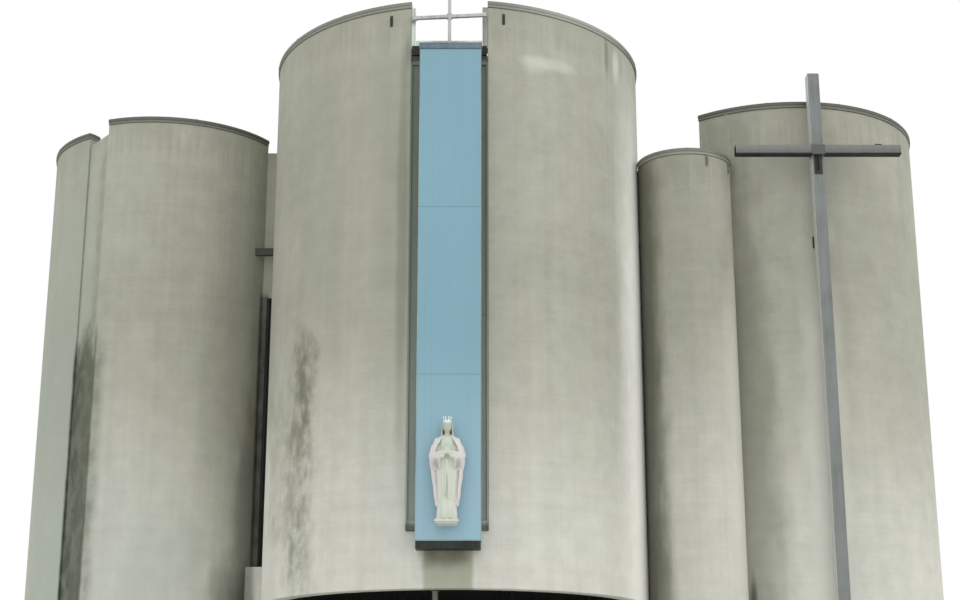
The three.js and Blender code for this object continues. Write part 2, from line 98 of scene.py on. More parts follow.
# Steel cross and thin cross
CROSS_X = 7.14
CROSS_Y = -1.55
CROSS_TOP = 15.87
CROSS_HALF = 0.125
ARM_LEVEL = 14.09
ARM_Y = CROSS_Y - 0.135
ARM_HALF = 1.745
ARM_HALF_HEIGHT = 0.10
ARM_HALF_DEPTH = 0.095
TIE_LEVELS = (4.20, 12.20)
POST_JOINTS = (4.9, 9.8)
THIN_CROSS_Y = -4.05
THIN_CROSS_BAR = 16.05
THIN_CROSS_TOP = 16.80
THIN_CROSS_TURN = -6.0
# Statue
STATUE_X = -0.60
STATUE_Y = PANEL_FRONT - 0.20
STATUE_BASE = 5.84
STATUE_SCALE = 1.045
HEAD_LOW = STATUE_BASE + 1.42 * STATUE_SCALE
HEAD_HIGH = STATUE_BASE + 1.715 * STATUE_SCALE
PLINTH_DEPTH = 0.44
PLINTH_HALF = 0.215
PLINTH_HEIGHT = 0.08
# Porch and entrance
CEILING_LOW = TOWER_LOW + 0.06
SCREEN_FRONT = -0.16
SCREEN_BACK = -0.04
DOOR_HEAD = 2.65
DOOR_STILE = 0.11
SIDE_BAYS = ((1.15, 2.32), (2.42, 3.59))
BEAD = 0.015
FLOOR_TOP = 0.15
# The left and the right side, with the sign of its direction
SIDES = (("left", -1), ("right", 1))
CORNERS = ((-1, -1), (-1, 1), (1, -1), (1, 1))
# How fine the walls are cut
ANGLE_STEP = 1.5
LEVEL_STEP = 0.6

# Camera: its place, its upward tilt in degrees, and its lens
CAMERA_PLACE = (0.0, -34.0, 1.6)
CAMERA_TILT = 15.9036
CAMERA_LENS = 61.166
# Studio: half the floor's width, and the one soft sun with its strength, its softness and its turn in degrees
FLOOR_HALF = 60.0
SUN_STRENGTH = 0.67
SUN_SOFTNESS = 110.0
SUN_TURN = (62.0, 0.0, 30.0)


@dataclass
class Shell:
    """A round wall: its name, its circle, its top, the angles that it runs between, and its thickness."""
    name: str
    x: float
    y: float
    radius: float
    top: float
    start: float
    end: float
    wall: float = WALL

    def at(self, radius, degrees, z=0.0):
        angle = math.radians(degrees)
        return Vector((self.x + radius * math.sin(angle), self.y - radius * math.cos(angle), z))

    @property
    def inner(self):
        return self.radius - self.wall


TOWER = Shell("tower", -0.50, 0.0, 3.98, TOWER_TOP, -111, 254)
turret_place = TOWER.at(TOWER.radius + TURRET_RADIUS + 0.001, 90 - TURRET_BEARING)
TURRET = Shell("turret", turret_place.x, turret_place.y, TURRET_RADIUS, TURRET_TOP, 0, 360, TURRET_WALL)
RIGHT_FRONT = Shell("right_front", 6.88, 1.84, 3.07, SHELL_TOP, -42, 135)
RIGHT_BACK = Shell("right_back", 6.88, 6.90, 3.07, SHELL_TOP, 45, 219)
APSE = Shell("apse", -0.10, 7.60, 4.60, SHELL_TOP, 108, 252)
LEFT_BACK = Shell("left_back", -7.10, 6.90, 3.07, SHELL_TOP, 141, 315)
LEFT_SIDE = Shell("left_side", -7.37, 2.85, 2.70, SHELL_TOP, 240, 327)
LEFT_FRONT = Shell("left_front", -7.27, 2.30, 2.70, SHELL_TOP, -21, 66)
SHELLS = (RIGHT_FRONT, RIGHT_BACK, APSE, LEFT_BACK, LEFT_SIDE, LEFT_FRONT)


def linear(value):
    share = value / 255.0
    return share / 12.92 if share <= 0.04045 else ((share + 0.055) / 1.055) ** 2.4


@dataclass
class Value:
    """A number made by nodes, which adds, subtracts and multiplies like a plain number."""
    look: object
    socket: object

    def __add__(self, other):
        return self.look.math("ADD", self, other)

    def __sub__(self, other):
        return self.look.math("SUBTRACT", self, other)

    def __rsub__(self, other):
        return self.look.math("SUBTRACT", other, self)

    def __mul__(self, other):
        return self.look.math("MULTIPLY", self, other)

    def __abs__(self):
        return self.look.math("ABSOLUTE", self)


class Look:
    """One material, with short ways to add and join its nodes."""

    def __init__(self, name, roughness=0.8, metallic=0.0):
        self.material = bpy.data.materials.new(name)
        self.material.use_nodes = True
        self.tree = self.material.node_tree
        self.shader = self.tree.nodes["Principled BSDF"].inputs
        self.shader["Roughness"].default_value = roughness
        self.shader["Metallic"].default_value = metallic
        self.place = self.node("ShaderNodeTexCoord").outputs["Object"]
        self.x, self.y, self.z = self.split(self.place)

    def put(self, socket, value):
        if isinstance(value, Value):
            value = value.socket
        if isinstance(value, bpy.types.NodeSocket):
            self.tree.links.new(value, socket)
        else:
            socket.default_value = value

    def node(self, kind, inputs=(), **settings):
        """A new node. Its inputs are given in order, or by number or name in a dictionary."""
        node = self.tree.nodes.new(kind)
        for key, value in settings.items():
            setattr(node, key, value)
        for key, value in inputs.items() if isinstance(inputs, dict) else enumerate(inputs):
            self.put(node.inputs[key], value)
        return node

    def math(self, operation, *values):
        return Value(self, self.node("ShaderNodeMath", values, operation=operation).outputs[0])

    def vector(self, operation, *values, output="Vector"):
        return self.node("ShaderNodeVectorMath", values, operation=operation).outputs[output]

    def split(self, vector):
        return [Value(self, socket) for socket in self.node("ShaderNodeSeparateXYZ", [vector]).outputs]

    def stretched(self, scale):
        """The place in waves: the scale is in waves per metre, one number or one for each axis."""
        return self.vector("MULTIPLY", self.place, scale if isinstance(scale, tuple) else (scale,) * 3)

    def noise(self, scale, detail=3.0, rough=0.5, warp=0.0):
        """Soft noise from 0 to 1."""
        inputs = {"Vector": self.stretched(scale), "Scale": 1.0, "Detail": detail, "Roughness": rough,
                  "Distortion": warp}
        return Value(self, self.node("ShaderNodeTexNoise", inputs).outputs[0])

    def cells(self, scale):
        """Small cells: how far each place is from its cell's middle, and a chance colour for each cell."""
        return self.node("ShaderNodeTexVoronoi", {"Vector": self.stretched(scale), "Scale": 1.0}).outputs

    def between(self, value, low, high, start=0.0, end=1.0):
        """Smooth step of a value: start below low, end above high."""
        inputs = (value, low, high, start, end)
        made = self.node("ShaderNodeMapRange", inputs, interpolation_type="SMOOTHSTEP")
        return Value(self, made.outputs[0])

    def mix(self, share, *ends):
        """A colour between two, each from a node or given as red, green and blue."""
        inputs = {0: share}
        for key, end in zip((6, 7), ends):
            inputs[key] = (*map(linear, end), 1.0) if isinstance(end, tuple) else end
        return self.node("ShaderNodeMix", inputs, data_type="RGBA").outputs[2]

    def scaled(self, base, factor):
        return self.node("ShaderNodeVectorMath", {0: base, "Scale": factor}, operation="SCALE").outputs[0]

    def blotch(self, middle, size):
        """A soft patch, 1 at its middle and 0 past its size, with a ragged edge."""
        share = self.vector("DIVIDE", self.vector("SUBTRACT", self.place, middle), size)
        far = Value(self, self.vector("LENGTH", share, output="Value"))
        shake = self.noise((2.2, 2.2, 0.88), 4.0) - 0.5
        return self.between(far + shake * 0.7, 0.35, 1.1, 1.0, 0.0)

    def oblong(self, middle, half, soft, stray, even):
        """A mottled patch with straight sides: 1 inside the half sizes, 0 outside them. Its edges stray."""
        shake = self.noise((2.6, 2.6, 1.6), 4.0, 0.55) - 0.5
        inside = self.between(self.noise((3.6, 3.6, 2.6), 4.0, 0.55), 0.34, 0.66, even)
        off = self.split(self.vector("ABSOLUTE", self.vector("SUBTRACT", self.place, middle)))
        edges = ((soft[0], stray[0]), (soft[0], 0.0), (soft[1], stray[1]))
        for distance, size, (fade, wander) in zip(off, half, edges):
            inside = inside * self.between(distance + shake * wander, size - fade, size + fade, 1.0, 0.0)
        return inside

    # Lays stains, and blotches and patches of painted light and shade, over a colour
    def stained_and_lit(self, base, stains_and_light, patches=()):
        for *shape, strength, tint in stains_and_light:
            base = self.mix(self.blotch(*shape) * strength, base, tint)
        for *shape, strength, tint in patches:
            base = self.mix(self.oblong(*shape) * strength, base, tint)
        return base

    def finished(self, base, roughness=None, height=None, strength=0.15, distance=0.002):
        """Joins the colour, the roughness and a bump to the shader, and gives the material."""
        self.put(self.shader["Base Color"], base)
        if roughness:
            self.put(self.shader["Roughness"], roughness)
        if height:
            bump = self.node("ShaderNodeBump", {"Strength": strength, "Distance": distance, "Height": height})
            self.put(self.shader["Normal"], bump.outputs[0])
        return self.material


# Materials
# The low and the high tone of the walls; the paler low tone is partly painted bounce light from the ground
PALE_CONCRETE = (200, 200, 190)
UPPER_CONCRETE = (161, 162, 148)
DAMP_CONCRETE = (84, 85, 68)
WARM_TINT = (206, 192, 180)
GREEN_TINT = (176, 186, 160)
BOARDS_PER_METRE = 10.0


def concrete_look(name, top=SHELL_TOP, stains_and_light=(), seed=0.0, patches=(), streak=0.24):
    """Old board-marked concrete: paler low down, partly from weathering and partly painted light bounced up
    from the ground; streaked by rain, with local stains, cast patches and painted light and shade.
    """
    look = Look(name, 0.9)
    plain_place = look.place
    look.place = look.vector("ADD", plain_place, (seed, seed * 0.7, 0.0))
    clouds = look.noise(0.30, 4.0, 0.55)
    mottle = look.noise(2.6, 6.0, 0.62)
    grain = look.noise(34.0, 3.0, 0.7)
    streaks = look.noise((2.4, 2.4, 0.07), 5.0, 0.6)
    fine_streaks = look.noise((9.0, 9.0, 0.16), 4.0, 0.6)
    hue = look.noise((0.55, 0.55, 0.22))

    # Paler low down, darker high up: painted light bounced up from the ground, and weathering that darkens
    # the upper walls
    pale_end = clouds * 3.0 + 3.2
    base = look.mix(look.between(look.z, pale_end, pale_end + 5.8), PALE_CONCRETE, UPPER_CONCRETE)
    base = look.mix(look.between(hue, 0.50, 0.75, 0.0, 0.22), base, WARM_TINT)
    base = look.mix(look.between(hue, 0.28, 0.48, 0.22, 0.0), base, GREEN_TINT)

    board = look.z * BOARDS_PER_METRE
    board_tone = look.node("ShaderNodeTexWhiteNoise", {"W": look.math("FLOOR", board)}, noise_dimensions="1D")
    board_line = look.between(abs(look.math("FRACT", board) - 0.5), 0.42, 0.5)
    shade = board_line * 0.04
    marks = ((clouds, 0.30), (mottle, 0.34), (grain, 0.16), (streaks, streak), (fine_streaks, streak * 0.5),
             (Value(look, board_tone.outputs["Value"]), 0.035))
    for value, share in marks:
        shade = shade + (value - 0.5) * share
    base = look.scaled(base, 1.0 - shade)

    run_end = top + 0.9 - fine_streaks * 2.6
    base = look.mix(look.between(look.z, run_end - 0.5, run_end, 0.0, 0.10), base, DAMP_CONCRETE)
    base = look.mix(look.between(look.z - mottle * 0.7, -0.1, 0.35, 0.35, 0.0), base, DAMP_CONCRETE)
    look.place = plain_place
    base = look.stained_and_lit(base, stains_and_light, patches)
    pits = look.between(look.cells(14.0)["Distance"], 0.05, 0.16)
    height = mottle * 0.5 + grain * 0.35 + pits * 0.25 - board_line * 0.2
    return look.finished(base, grain * 0.16 + 0.8, height, 0.5, 0.012)


def coping_look(name, top, light, dark, stains_and_light=()):
    """Zinc flashing in two tones that are painted light and shade: the upper fold given darker against the
    light from above, the apron under it lighter against the fold's shade; streaked in the apron's tone.
    """
    look = Look(name, 0.5, 0.3)
    cloud = look.noise(1.1, 5.0, 0.6)
    runs = look.noise((12.0, 12.0, 0.6), 4.0, 0.6)
    specks = look.noise(60.0, 2.0, 0.6)
    fold = top - COPING_HEIGHT + COPING_APRON
    # Upper fold in the first tone, apron in the second, both set as painted light and shade
    base = look.mix(look.between(look.z, fold - 0.006, fold), dark, light)
    base = look.mix(look.between(runs, 0.55, 0.8, 0.0, 0.35), base, dark)
    base = look.scaled(base, (cloud * 0.5 + 0.75) * (specks * 0.24 + 0.88))
    return look.finished(look.stained_and_lit(base, stains_and_light), cloud * 0.3 + 0.4, specks)


def metal_look(name, tint, dirt, roughness=0.45, metallic=0.3):
    """Painted or galvanised metal with weather stains and chalky patches."""
    look = Look(name, roughness, metallic)
    cloud = look.noise(1.4, 5.0, 0.6)
    runs = look.noise((16.0, 16.0, 0.8), 4.0, 0.6)
    specks = look.noise(70.0, 2.0, 0.6)
    base = look.mix(look.between(runs * 0.5 + cloud * 0.6, 0.42, 0.75), tint, dirt)
    return look.finished(look.scaled(base, specks * 0.24 + 0.88), cloud * 0.3 + (roughness - 0.12), specks)


def cross_look():
    """Grey paint on the tall cross, with painted light on its left face, and painted shade low on the front
    of the arm and at the crossing.
    """
    look = Look("steel_grey_paint", 0.5, 0.2)
    cloud = look.noise(1.4, 5.0, 0.6)
    runs = look.noise((16.0, 16.0, 0.8), 4.0, 0.6)
    base = look.mix(look.between(runs * 0.5 + cloud * 0.5, 0.38, 0.75), (122, 126, 125), (104, 108, 102))
    left = CROSS_X - CROSS_HALF
    # Painted light: the post's left face made pale against its shade
    lit_left_face = look.between(look.x, left + 0.001, left + 0.009, 0.75, 0.0)
    on_post = look.between(look.x, left - 0.008, left - 0.004)
    base = look.mix(lit_left_face * on_post, base, (214, 216, 214))
    # Painted shade: the front of the arm darker towards its underside
    low = look.between(look.z, ARM_LEVEL - ARM_HALF_HEIGHT, ARM_LEVEL + ARM_HALF_HEIGHT, 0.7, 0.0)
    aside = abs(look.x - CROSS_X)
    base = look.mix(low * look.between(aside, 0.13, 0.15), base, (84, 87, 80))
    # Painted shadow of the arm on the collar at the crossing
    crossing = look.between(abs(look.z - ARM_LEVEL), 0.106, 0.114, 1.0, 0.0)
    base = look.mix(crossing * look.between(aside, 0.138, 0.144, 1.0, 0.0), base, (84, 87, 82))
    return look.finished(base, cloud * 0.3 + 0.36, runs)


def roofing_look():
    """Bitumen felt under fine gravel."""
    look = Look("roofing_gravel", 0.95)
    cells = look.cells(45.0)
    stones = look.between(cells["Distance"], 0.1, 0.7, 1.0, 0.0)
    tint = look.node("ShaderNodeSeparateColor", [cells["Color"]]).outputs[0]
    base = look.mix(tint, (118, 117, 110), (156, 154, 146))
    base = look.mix((1.0 - stones) * 0.6, base, (60, 60, 56))
    base = look.mix(look.between(look.noise(0.5, 4.0), 0.45, 0.7, 0.0, 0.45), base, (92, 94, 80))
    return look.finished(base, None, stones, 0.8, 0.012)


def floor_look():
    """Trowelled concrete floor, laid in square bays."""
    look = Look("porch_floor", 0.7)
    cloud = look.noise(0.8, 5.0)
    grain = look.noise(30.0)
    bay = 1.5
    lines = [look.between(abs(look.math("FRACT", axis * (1 / bay)) - 0.5), 0.493, 0.498)
             for axis in (look.x, look.y)]
    joint = look.math("MAXIMUM", *lines)
    base = look.mix(look.between(cloud, 0.3, 0.7), (150, 147, 139), (172, 169, 160))
    base = look.mix(joint * 0.7, look.scaled(base, grain * 0.2 + 0.9), (80, 78, 72))
    return look.finished(base, cloud * 0.3 + 0.5, grain - joint, 0.2, 0.004)


def panel_look():
    """Matt light blue paint on sheet, a little chalky and streaked, and paler low down."""
    look = Look("panel_blue_paint", 0.55)
    cloud = look.noise((1.2, 1.2, 0.35), 4.0)
    runs = look.noise((13.0, 13.0, 0.22), 4.0)
    specks = look.noise(55.0, 3.0, 0.7)
    base = look.mix(look.between(look.z, 6.5, 9.5), (139, 174, 188), (120, 159, 173))
    base = look.scaled(base, 1.18 - (cloud * 0.14 + runs * 0.12 + specks * 0.10))
    return look.finished(base, specks * 0.2 + 0.45, specks, 0.15, 0.003)


def channel_look():
    """Green-grey paint, paler low down, and near black at both ends."""
    look = Look("channel_green_grey", 0.55, 0.1)
    cloud = look.noise((2.0, 2.0, 0.6), 5.0, 0.6)
    runs = look.noise((18.0, 18.0, 0.5), 4.0, 0.6)
    base = look.mix(look.between(look.z, 6.0, 12.5), (142, 150, 138), (104, 112, 100))
    base = look.scaled(base, cloud * 0.5 + runs * 0.35 + 0.575)
    level = look.z + cloud * 0.16
    foot = look.between(level, CHANNEL_LOW + 0.14, CHANNEL_LOW + 0.24, 0.70, 0.0)
    head = look.between(level, CHANNEL_HIGH - 0.08, CHANNEL_HIGH + 0.02, 0.0, 0.90)
    for share in (foot, head):
        base = look.mix(share, base, (34, 36, 30))
    return look.finished(base, None, cloud, 0.2, 0.003)


def glass_look(name, tint, film, roughness=0.12):
    """Dark glazing with a film of dust and faint rain marks."""
    look = Look(name, roughness)
    dust = look.noise((3.0, 3.0, 0.5), 5.0, 0.6)
    drops = look.noise((24.0, 24.0, 2.0), 4.0)
    base = look.mix(look.between(dust, 0.35, 0.8), tint, film)
    return look.finished(look.scaled(base, drops * 0.3 + 0.8), drops * 0.2 + (roughness - 0.05))


def timber_look(name, light, dark, shine=0.5):
    """Stained timber with upright grain."""
    look = Look(name, 0.5)
    look.shader["Specular IOR Level"].default_value = shine
    bands = look.noise((22.0, 22.0, 0.9), 5.0, 0.6, 0.4)
    pores = look.noise((120.0, 120.0, 3.0))
    base = look.mix(look.between(bands, 0.3, 0.7), light, dark)
    return look.finished(look.scaled(base, pores * 0.4 + 0.75), bands * 0.2 + 0.42, bands + pores, 0.3)


def stone_look():
    """White stone: a green tinge on the gown, lilac on the mantle, olive dirt with painted shade on the head
    under the veil, and painted shade under the elbows.
    """
    look = Look("statue_white_stone", 0.6)
    cloud = look.noise(4.0, 5.0, 0.6)
    runs = look.noise((18.0, 18.0, 2.2), 4.0)
    grain = look.noise(160.0)
    aside = abs(look.x - STATUE_X)
    base = look.mix(look.between(aside, 0.12, 0.20), (200, 207, 193), (213, 206, 206))
    base = look.mix(look.between(cloud, 0.35, 0.75, 0.0, 0.5), base, (190, 197, 184))
    base = look.mix(look.between(runs, 0.55, 0.85, 0.0, 0.35), base, (146, 150, 134))
    # The head: olive dirt, and painted shade of the veil over the face
    over_neck = look.between(look.z, HEAD_LOW, HEAD_LOW + 0.08)
    head = over_neck * look.between(look.z, HEAD_HIGH - 0.04, HEAD_HIGH, 1.0, 0.0)
    base = look.mix(head * look.between(cloud, 0.2, 0.7, 0.25, 0.6), base, (138, 138, 112))
    # Painted shade under the elbows, between the arms and the mantle
    from_elbow = abs(look.z - (STATUE_BASE + 0.97 * STATUE_SCALE))
    from_fold = abs(aside - 0.21)
    elbow_shade = look.between(from_elbow, 0.02, 0.16, 0.4, 0.0) * look.between(from_fold, 0.01, 0.11, 1.0, 0.0)
    base = look.mix(elbow_shade, base, (84, 90, 84))
    base = look.mix(look.between(look.z, HEAD_HIGH, HEAD_HIGH + 0.02), base, (238, 240, 236))
    return look.finished(look.scaled(base, grain * 0.12 + 0.94), cloud * 0.25 + 0.48, grain, 0.25)


# Dark green-grey: painted shade in the creases beside the tower, with moss
MOSS_AND_SHADE = (70, 72, 58)
# Grey-green darkening: painted shade in hollows of the left shells, and a darker tone high on the turret and
# the right shell
DARKENING_GREY = (101, 104, 88)
# Near white: painted light on shell edges that face the light, and over the shadow of the tall cross
PAINTED_LIGHT = (222, 222, 212)
# Near black, for a narrow dark mark
NEAR_BLACK = (52, 54, 44)
# Stains, and blotches of painted light and shade: middle, size, strength, colour.
# Patches of stain, and of painted light and shade: middle, half sizes, softness and stray of the side and end
# edges, evenness, strength, colour.
TOWER_STAINS_AND_LIGHT = (
    ((-2.60, -3.20, 12.6), (2.40, 2.5, 5.0), 0.34, (136, 138, 122)),
    # Painted light on the tower's left edge, against its shading
    ((-4.45, -0.90, 6.4), (0.38, 1.4, 2.4), 0.75, PAINTED_LIGHT),
    ((1.45, -3.50, 15.27), (0.85, 0.6, 0.18), 0.34, (212, 213, 202)),
    ((1.15, -3.60, 15.18), (0.40, 0.5, 0.22), 0.20, (216, 217, 208)),
    ((2.66, -2.45, 15.95), (0.07, 0.4, 0.55), 0.55, (104, 106, 92)),
    ((2.88, -2.15, 15.85), (0.12, 0.4, 0.50), 0.60, (206, 206, 197)),
    ((-1.52, -3.85, 11.5), (0.14, 0.3, 5.0), 0.45, (112, 114, 98)),
)
TOWER_PATCHES_AND_LIGHT = (
    ((-1.43, -3.87, 15.45), (0.06, 0.3, 0.26), (0.03, 0.22), (0.03, 0.05), 0.70, 0.50, (96, 100, 96)),
    # Painted light: the tower's right edge brightened towards white
    ((3.38, -0.90, 6.0), (0.36, 2.0, 8.2), (0.36, 3.00), (0.20, 0.5), 0.96, 1.00, (252, 252, 246)),
    ((-3.50, -2.70, 7.2), (0.26, 1.5, 2.5), (0.24, 0.50), (0.45, 1.4), 0.10, 0.66, (108, 110, 90)),
    ((-3.48, -2.70, 8.7), (0.18, 1.5, 1.0), (0.16, 0.40), (0.30, 0.9), 0.30, 0.55, (94, 92, 74)),
    ((-3.95, -2.00, 7.4), (0.40, 1.5, 1.7), (0.22, 0.40), (0.40, 1.4), 0.15, 0.35, (134, 136, 112)),
    ((-0.58, -3.98, 5.02), (0.46, 0.3, 0.42), (0.05, 0.05), (0.10, 0.10), 0.85, 0.80, (150, 153, 132)),
    # Painted shade: a darker band on the wall right under the panel's foot
    ((-0.62, -3.98, 5.32), (0.42, 0.3, 0.20), (0.14, 0.14), (0.16, 0.20), 0.80, 0.80, (92, 95, 72)),
)
LEFT_STAINS_AND_SHADE = (
    # Painted shade with moss at the left shell's end beside the tower
    ((-4.98, 1.0, 5.6), (0.50, 0.9, 5.2), 0.56, MOSS_AND_SHADE),
    # Painted shade: a broad darkening of the left shell towards the tower
    ((-5.60, 0.6, 7.0), (1.3, 1.0, 6.5), 0.22, DARKENING_GREY),
    ((-9.2, 1.5, 6.5), (1.3, 4.0, 11.0), 0.70, (152, 162, 149)),
    ((-7.4, 0.0, 4.4), (2.4, 3.0, 4.0), 0.40, (156, 166, 156)),
    # Painted shade with moss low at the left shell's end, widening downwards
    ((-5.25, 0.4, 4.2), (0.66, 1.2, 1.9), 0.50, MOSS_AND_SHADE),
)
LEFT_PATCHES_AND_SHADE = (
    # The dark band where the far-left shell meets the left shell: stain, and painted shade that fades on the
    # round wall
    ((-8.53, 1.2, 4.9), (0.335, 3.5, 5.5), (0.03, 0.50), (0.03, 1.6), 0.78, 1.00, (71, 77, 62)),
    ((-8.28, -0.2, 4.9), (0.28, 1.5, 5.3), (0.14, 0.50), (0.16, 1.6), 0.50, 0.60, (94, 98, 82)),
    # Painted shade in the shallow hollow above the dark band
    ((-8.36, -0.2, 12.3), (0.10, 1.5, 2.4), (0.08, 0.40), (0.10, 1.6), 0.45, 0.40, DARKENING_GREY),
    ((-4.86, 1.35, 8.6), (0.14, 0.36, 3.1), (0.04, 0.10), (0.02, 0.0), 0.80, 0.90, (46, 48, 40)),
    ((-4.83, 0.9, 8.6), (0.10, 1.5, 0.40), (0.10, 0.30), (0.15, 0.4), 0.50, 0.50, (36, 38, 32)),
    ((-4.86, 0.4, 5.2), (0.12, 0.5, 0.6), (0.06, 0.10), (0.10, 0.4), 0.70, 0.70, (92, 96, 80)),
)
TURRET_STAINS_AND_LIGHT = (
    # Painted shade: the turret's left side dark where it meets the tower
    ((3.40, -1.10, 9.8), (0.52, 1.0, 11.0), 0.80, MOSS_AND_SHADE),
    # Painted shade low on the turret's left side
    ((3.60, -1.40, 4.8), (0.34, 0.8, 2.2), 0.62, MOSS_AND_SHADE),
    ((4.40, -1.80, 12.4), (1.80, 1.6, 3.4), 0.22, DARKENING_GREY),
    ((4.40, -1.80, 5.0), (1.50, 1.6, 2.2), 0.18, (140, 142, 128)),
    # Painted light on the turret's right edge
    ((5.25, -1.30, 7.5), (0.42, 0.8, 5.0), 0.35, PAINTED_LIGHT),
)
RIGHT_STAINS_AND_LIGHT = (
    # Painted shade: the right shell dark where it comes out from behind the turret
    ((5.50, -0.75, 6.8), (0.98, 1.0, 10.2), 0.54, (90, 92, 78)),
    # A narrow near-black mark low between the turret and the right shell
    ((5.50, -0.75, 4.7), (0.10, 0.4, 0.8), 0.85, NEAR_BLACK),
    ((7.8, -1.2, 12.6), (2.4, 1.6, 2.6), 0.14, DARKENING_GREY),
    # Painted light round the tall cross's post, over the shadow that it casts on the shell
    ((7.05, -1.2, 6.6), (0.60, 0.4, 8.0), 0.50, PAINTED_LIGHT),
)
# Painted light: the tower's coping lighter on its right, towards the light
TOWER_COPING_LIGHT = (((2.2, -3.0, 16.42), (1.9, 1.6, 0.9), 0.40, (190, 190, 182)),)

concrete_tower = concrete_look("concrete_tower", TOWER_TOP, TOWER_STAINS_AND_LIGHT, patches=TOWER_PATCHES_AND_LIGHT)
concrete_turret = concrete_look("concrete_turret", TURRET_TOP, TURRET_STAINS_AND_LIGHT, 3.1)
concrete_right = concrete_look("concrete_right", SHELL_TOP, RIGHT_STAINS_AND_LIGHT, 7.4, streak=0.16)
concrete_left = concrete_look("concrete_left", SHELL_TOP, LEFT_STAINS_AND_SHADE, 12.9, LEFT_PATCHES_AND_SHADE)
concrete_back = concrete_look("concrete_back", seed=21.7)
coping_tower = coping_look("coping_tower", TOWER_TOP, (126, 128, 120), (140, 142, 130), TOWER_COPING_LIGHT)
coping_turret = coping_look("coping_turret", TURRET_TOP, (118, 120, 110), (146, 148, 136))
coping_shells = coping_look("coping_shells", SHELL_TOP, (92, 94, 86), (116, 118, 106))
frame_paint = metal_look("frame_dark_paint", (88, 98, 90), (62, 70, 62))
steel_paint = cross_look()
light_metal = metal_look("flashing_light", (196, 206, 198), (150, 158, 148), 0.4)
grey_metal = metal_look("flashing_grey", (150, 148, 143), (118, 118, 108))
cap_metal = metal_look("cap_slate_blue", (104, 122, 134), (84, 98, 106))
# Near black: painted shade, a dark band standing for the shade under the panel's bottom edge
foot_metal = metal_look("panel_foot_dark", (42, 50, 44), (26, 31, 26), 0.6, 0.2)
channel_paint = channel_look()
panel_edge = metal_look("panel_edge", (152, 172, 172), (120, 140, 138))
pale_steel = metal_look("thin_cross_paint", (184, 182, 184), (150, 150, 150), 0.4, 0.4)
dark_steel = metal_look("dark_fixings", (58, 60, 54), (38, 40, 34), 0.5, 0.4)
tie_metal = metal_look("notch_tie_dirty", (64, 68, 60), (44, 46, 40), 0.7, 0.1)
# Near black: painted shade under the tall cross's arm; the same near black on the slot sill and on the notch
# frame
black_grime_and_shade = metal_look("black_grime_and_shade", (34, 35, 31), (18, 19, 16), 0.8, 0.0)
roofing = roofing_look()
felt_strip = metal_look("roof_felt", (98, 98, 92), (76, 77, 70), 0.9, 0.0)
floor_finish = floor_look()
panel_paint = panel_look()
glass_dark = glass_look("glass_dark", (46, 52, 46), (96, 101, 90))
slit_glass = glass_look("glass_in_the_notch", (20, 22, 18), (28, 30, 24), 0.6)
timber = timber_look("door_timber", (92, 68, 49), (58, 42, 31))
# Near-black boards: painted shade of the deep porch
shade_black_boards = timber_look("porch_ceiling_boards", (15, 15, 12), (8, 8, 6), 0.05)
white_stone = stone_look()


# Mesh helpers
def evaluated(made):
    """Gives a piece the mesh that its modifiers make, and drops them."""
    graph = bpy.context.evaluated_depsgraph_get()
    made.data = bpy.data.meshes.new_from_object(made.evaluated_get(graph))
    made.data.name = made.name
    made.modifiers.clear()


def piece(name, build, material, bevel=0.0, smooth=35.0, replaces=()):
    """A finished object from a function that fills a bmesh: bevelled, smoothed, riding on the building."""
    bm = bmesh.new()
    build(bm)
    bmesh.ops.recalc_face_normals(bm, faces=bm.faces)
    mesh = bpy.data.meshes.new(name)
    bm.to_mesh(mesh)
    bm.free()
    mesh.materials.append(material)
    mesh.shade_smooth()
    mesh.set_sharp_from_angle(angle=math.radians(smooth))
    made = bpy.data.objects.new(name, mesh)
    bpy.context.scene.collection.objects.link(made)
    if bevel > 0.0:
        edges = made.modifiers.new("edges", "BEVEL")
        edges.width = bevel
        edges.segments = 2
        edges.limit_method = "ANGLE"
        edges.angle_limit = math.radians(smooth)
        edges.harden_normals = True
        evaluated(made)
    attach(made, "root")
    if replaces:
        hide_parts(*replaces)
    return made


def add_box(bm, *ends, at=(0.0, 0.0, 0.0), turn=Matrix.Identity(4)):
    """A box placed from a point. Each of its ends is a pair of limits, or half its size about the point."""
    pairs = [end if isinstance(end, tuple) else (-end, end) for end in ends]
    limits = [(place + low, place + high) for place, (low, high) in zip(at, pairs)]
    middle = Matrix.Translation([(low + high) / 2 for low, high in limits])
    size = Matrix.Diagonal([abs(high - low) for low, high in limits] + [1.0])
    bmesh.ops.create_cube(bm, size=1.0, matrix=middle @ turn @ size)


def add_boxes(bm, at, *rows):
    for ends in rows:
        add_box(bm, *ends, at=at)


def add_round(bm, place, radius, depth, top_radius=None, segments=24, turn=Matrix.Identity(4)):
    """A round or six-sided disc or cone, about its middle."""
    upper = radius if top_radius is None else top_radius
    bmesh.ops.create_cone(bm, cap_ends=True, segments=segments, radius1=radius, radius2=upper, depth=depth,
                          matrix=Matrix.Translation(place) @ turn)


def add_bolt(bm, place, radius, height, axis="Y"):
    """A six-sided bolt head that stands out from a face towards the front or upwards."""
    forward = axis == "Y"
    turn = Matrix.Rotation(math.radians(90 if forward else 0), 4, "X")
    shift = (0, -height / 2, 0) if forward else (0, 0, height / 2)
    add_round(bm, Vector(place) + Vector(shift), radius, height, radius * 0.9, 6, turn)


def add_loft(bm, rings, closed=False):
    """A skin over rings of equally many points. The last ring joins the first, or both are capped."""
    made = [[bm.verts.new(point) for point in ring] for ring in rings]
    pairs = list(zip(made, made[1:]))
    if closed:
        pairs.append((made[-1], made[0]))
    else:
        bm.faces.new(reversed(made[0]))
        bm.faces.new(made[-1])
    for lower, upper in pairs:
        for index in range(len(lower)):
            bm.faces.new((lower[index - 1], lower[index], upper[index], upper[index - 1]))


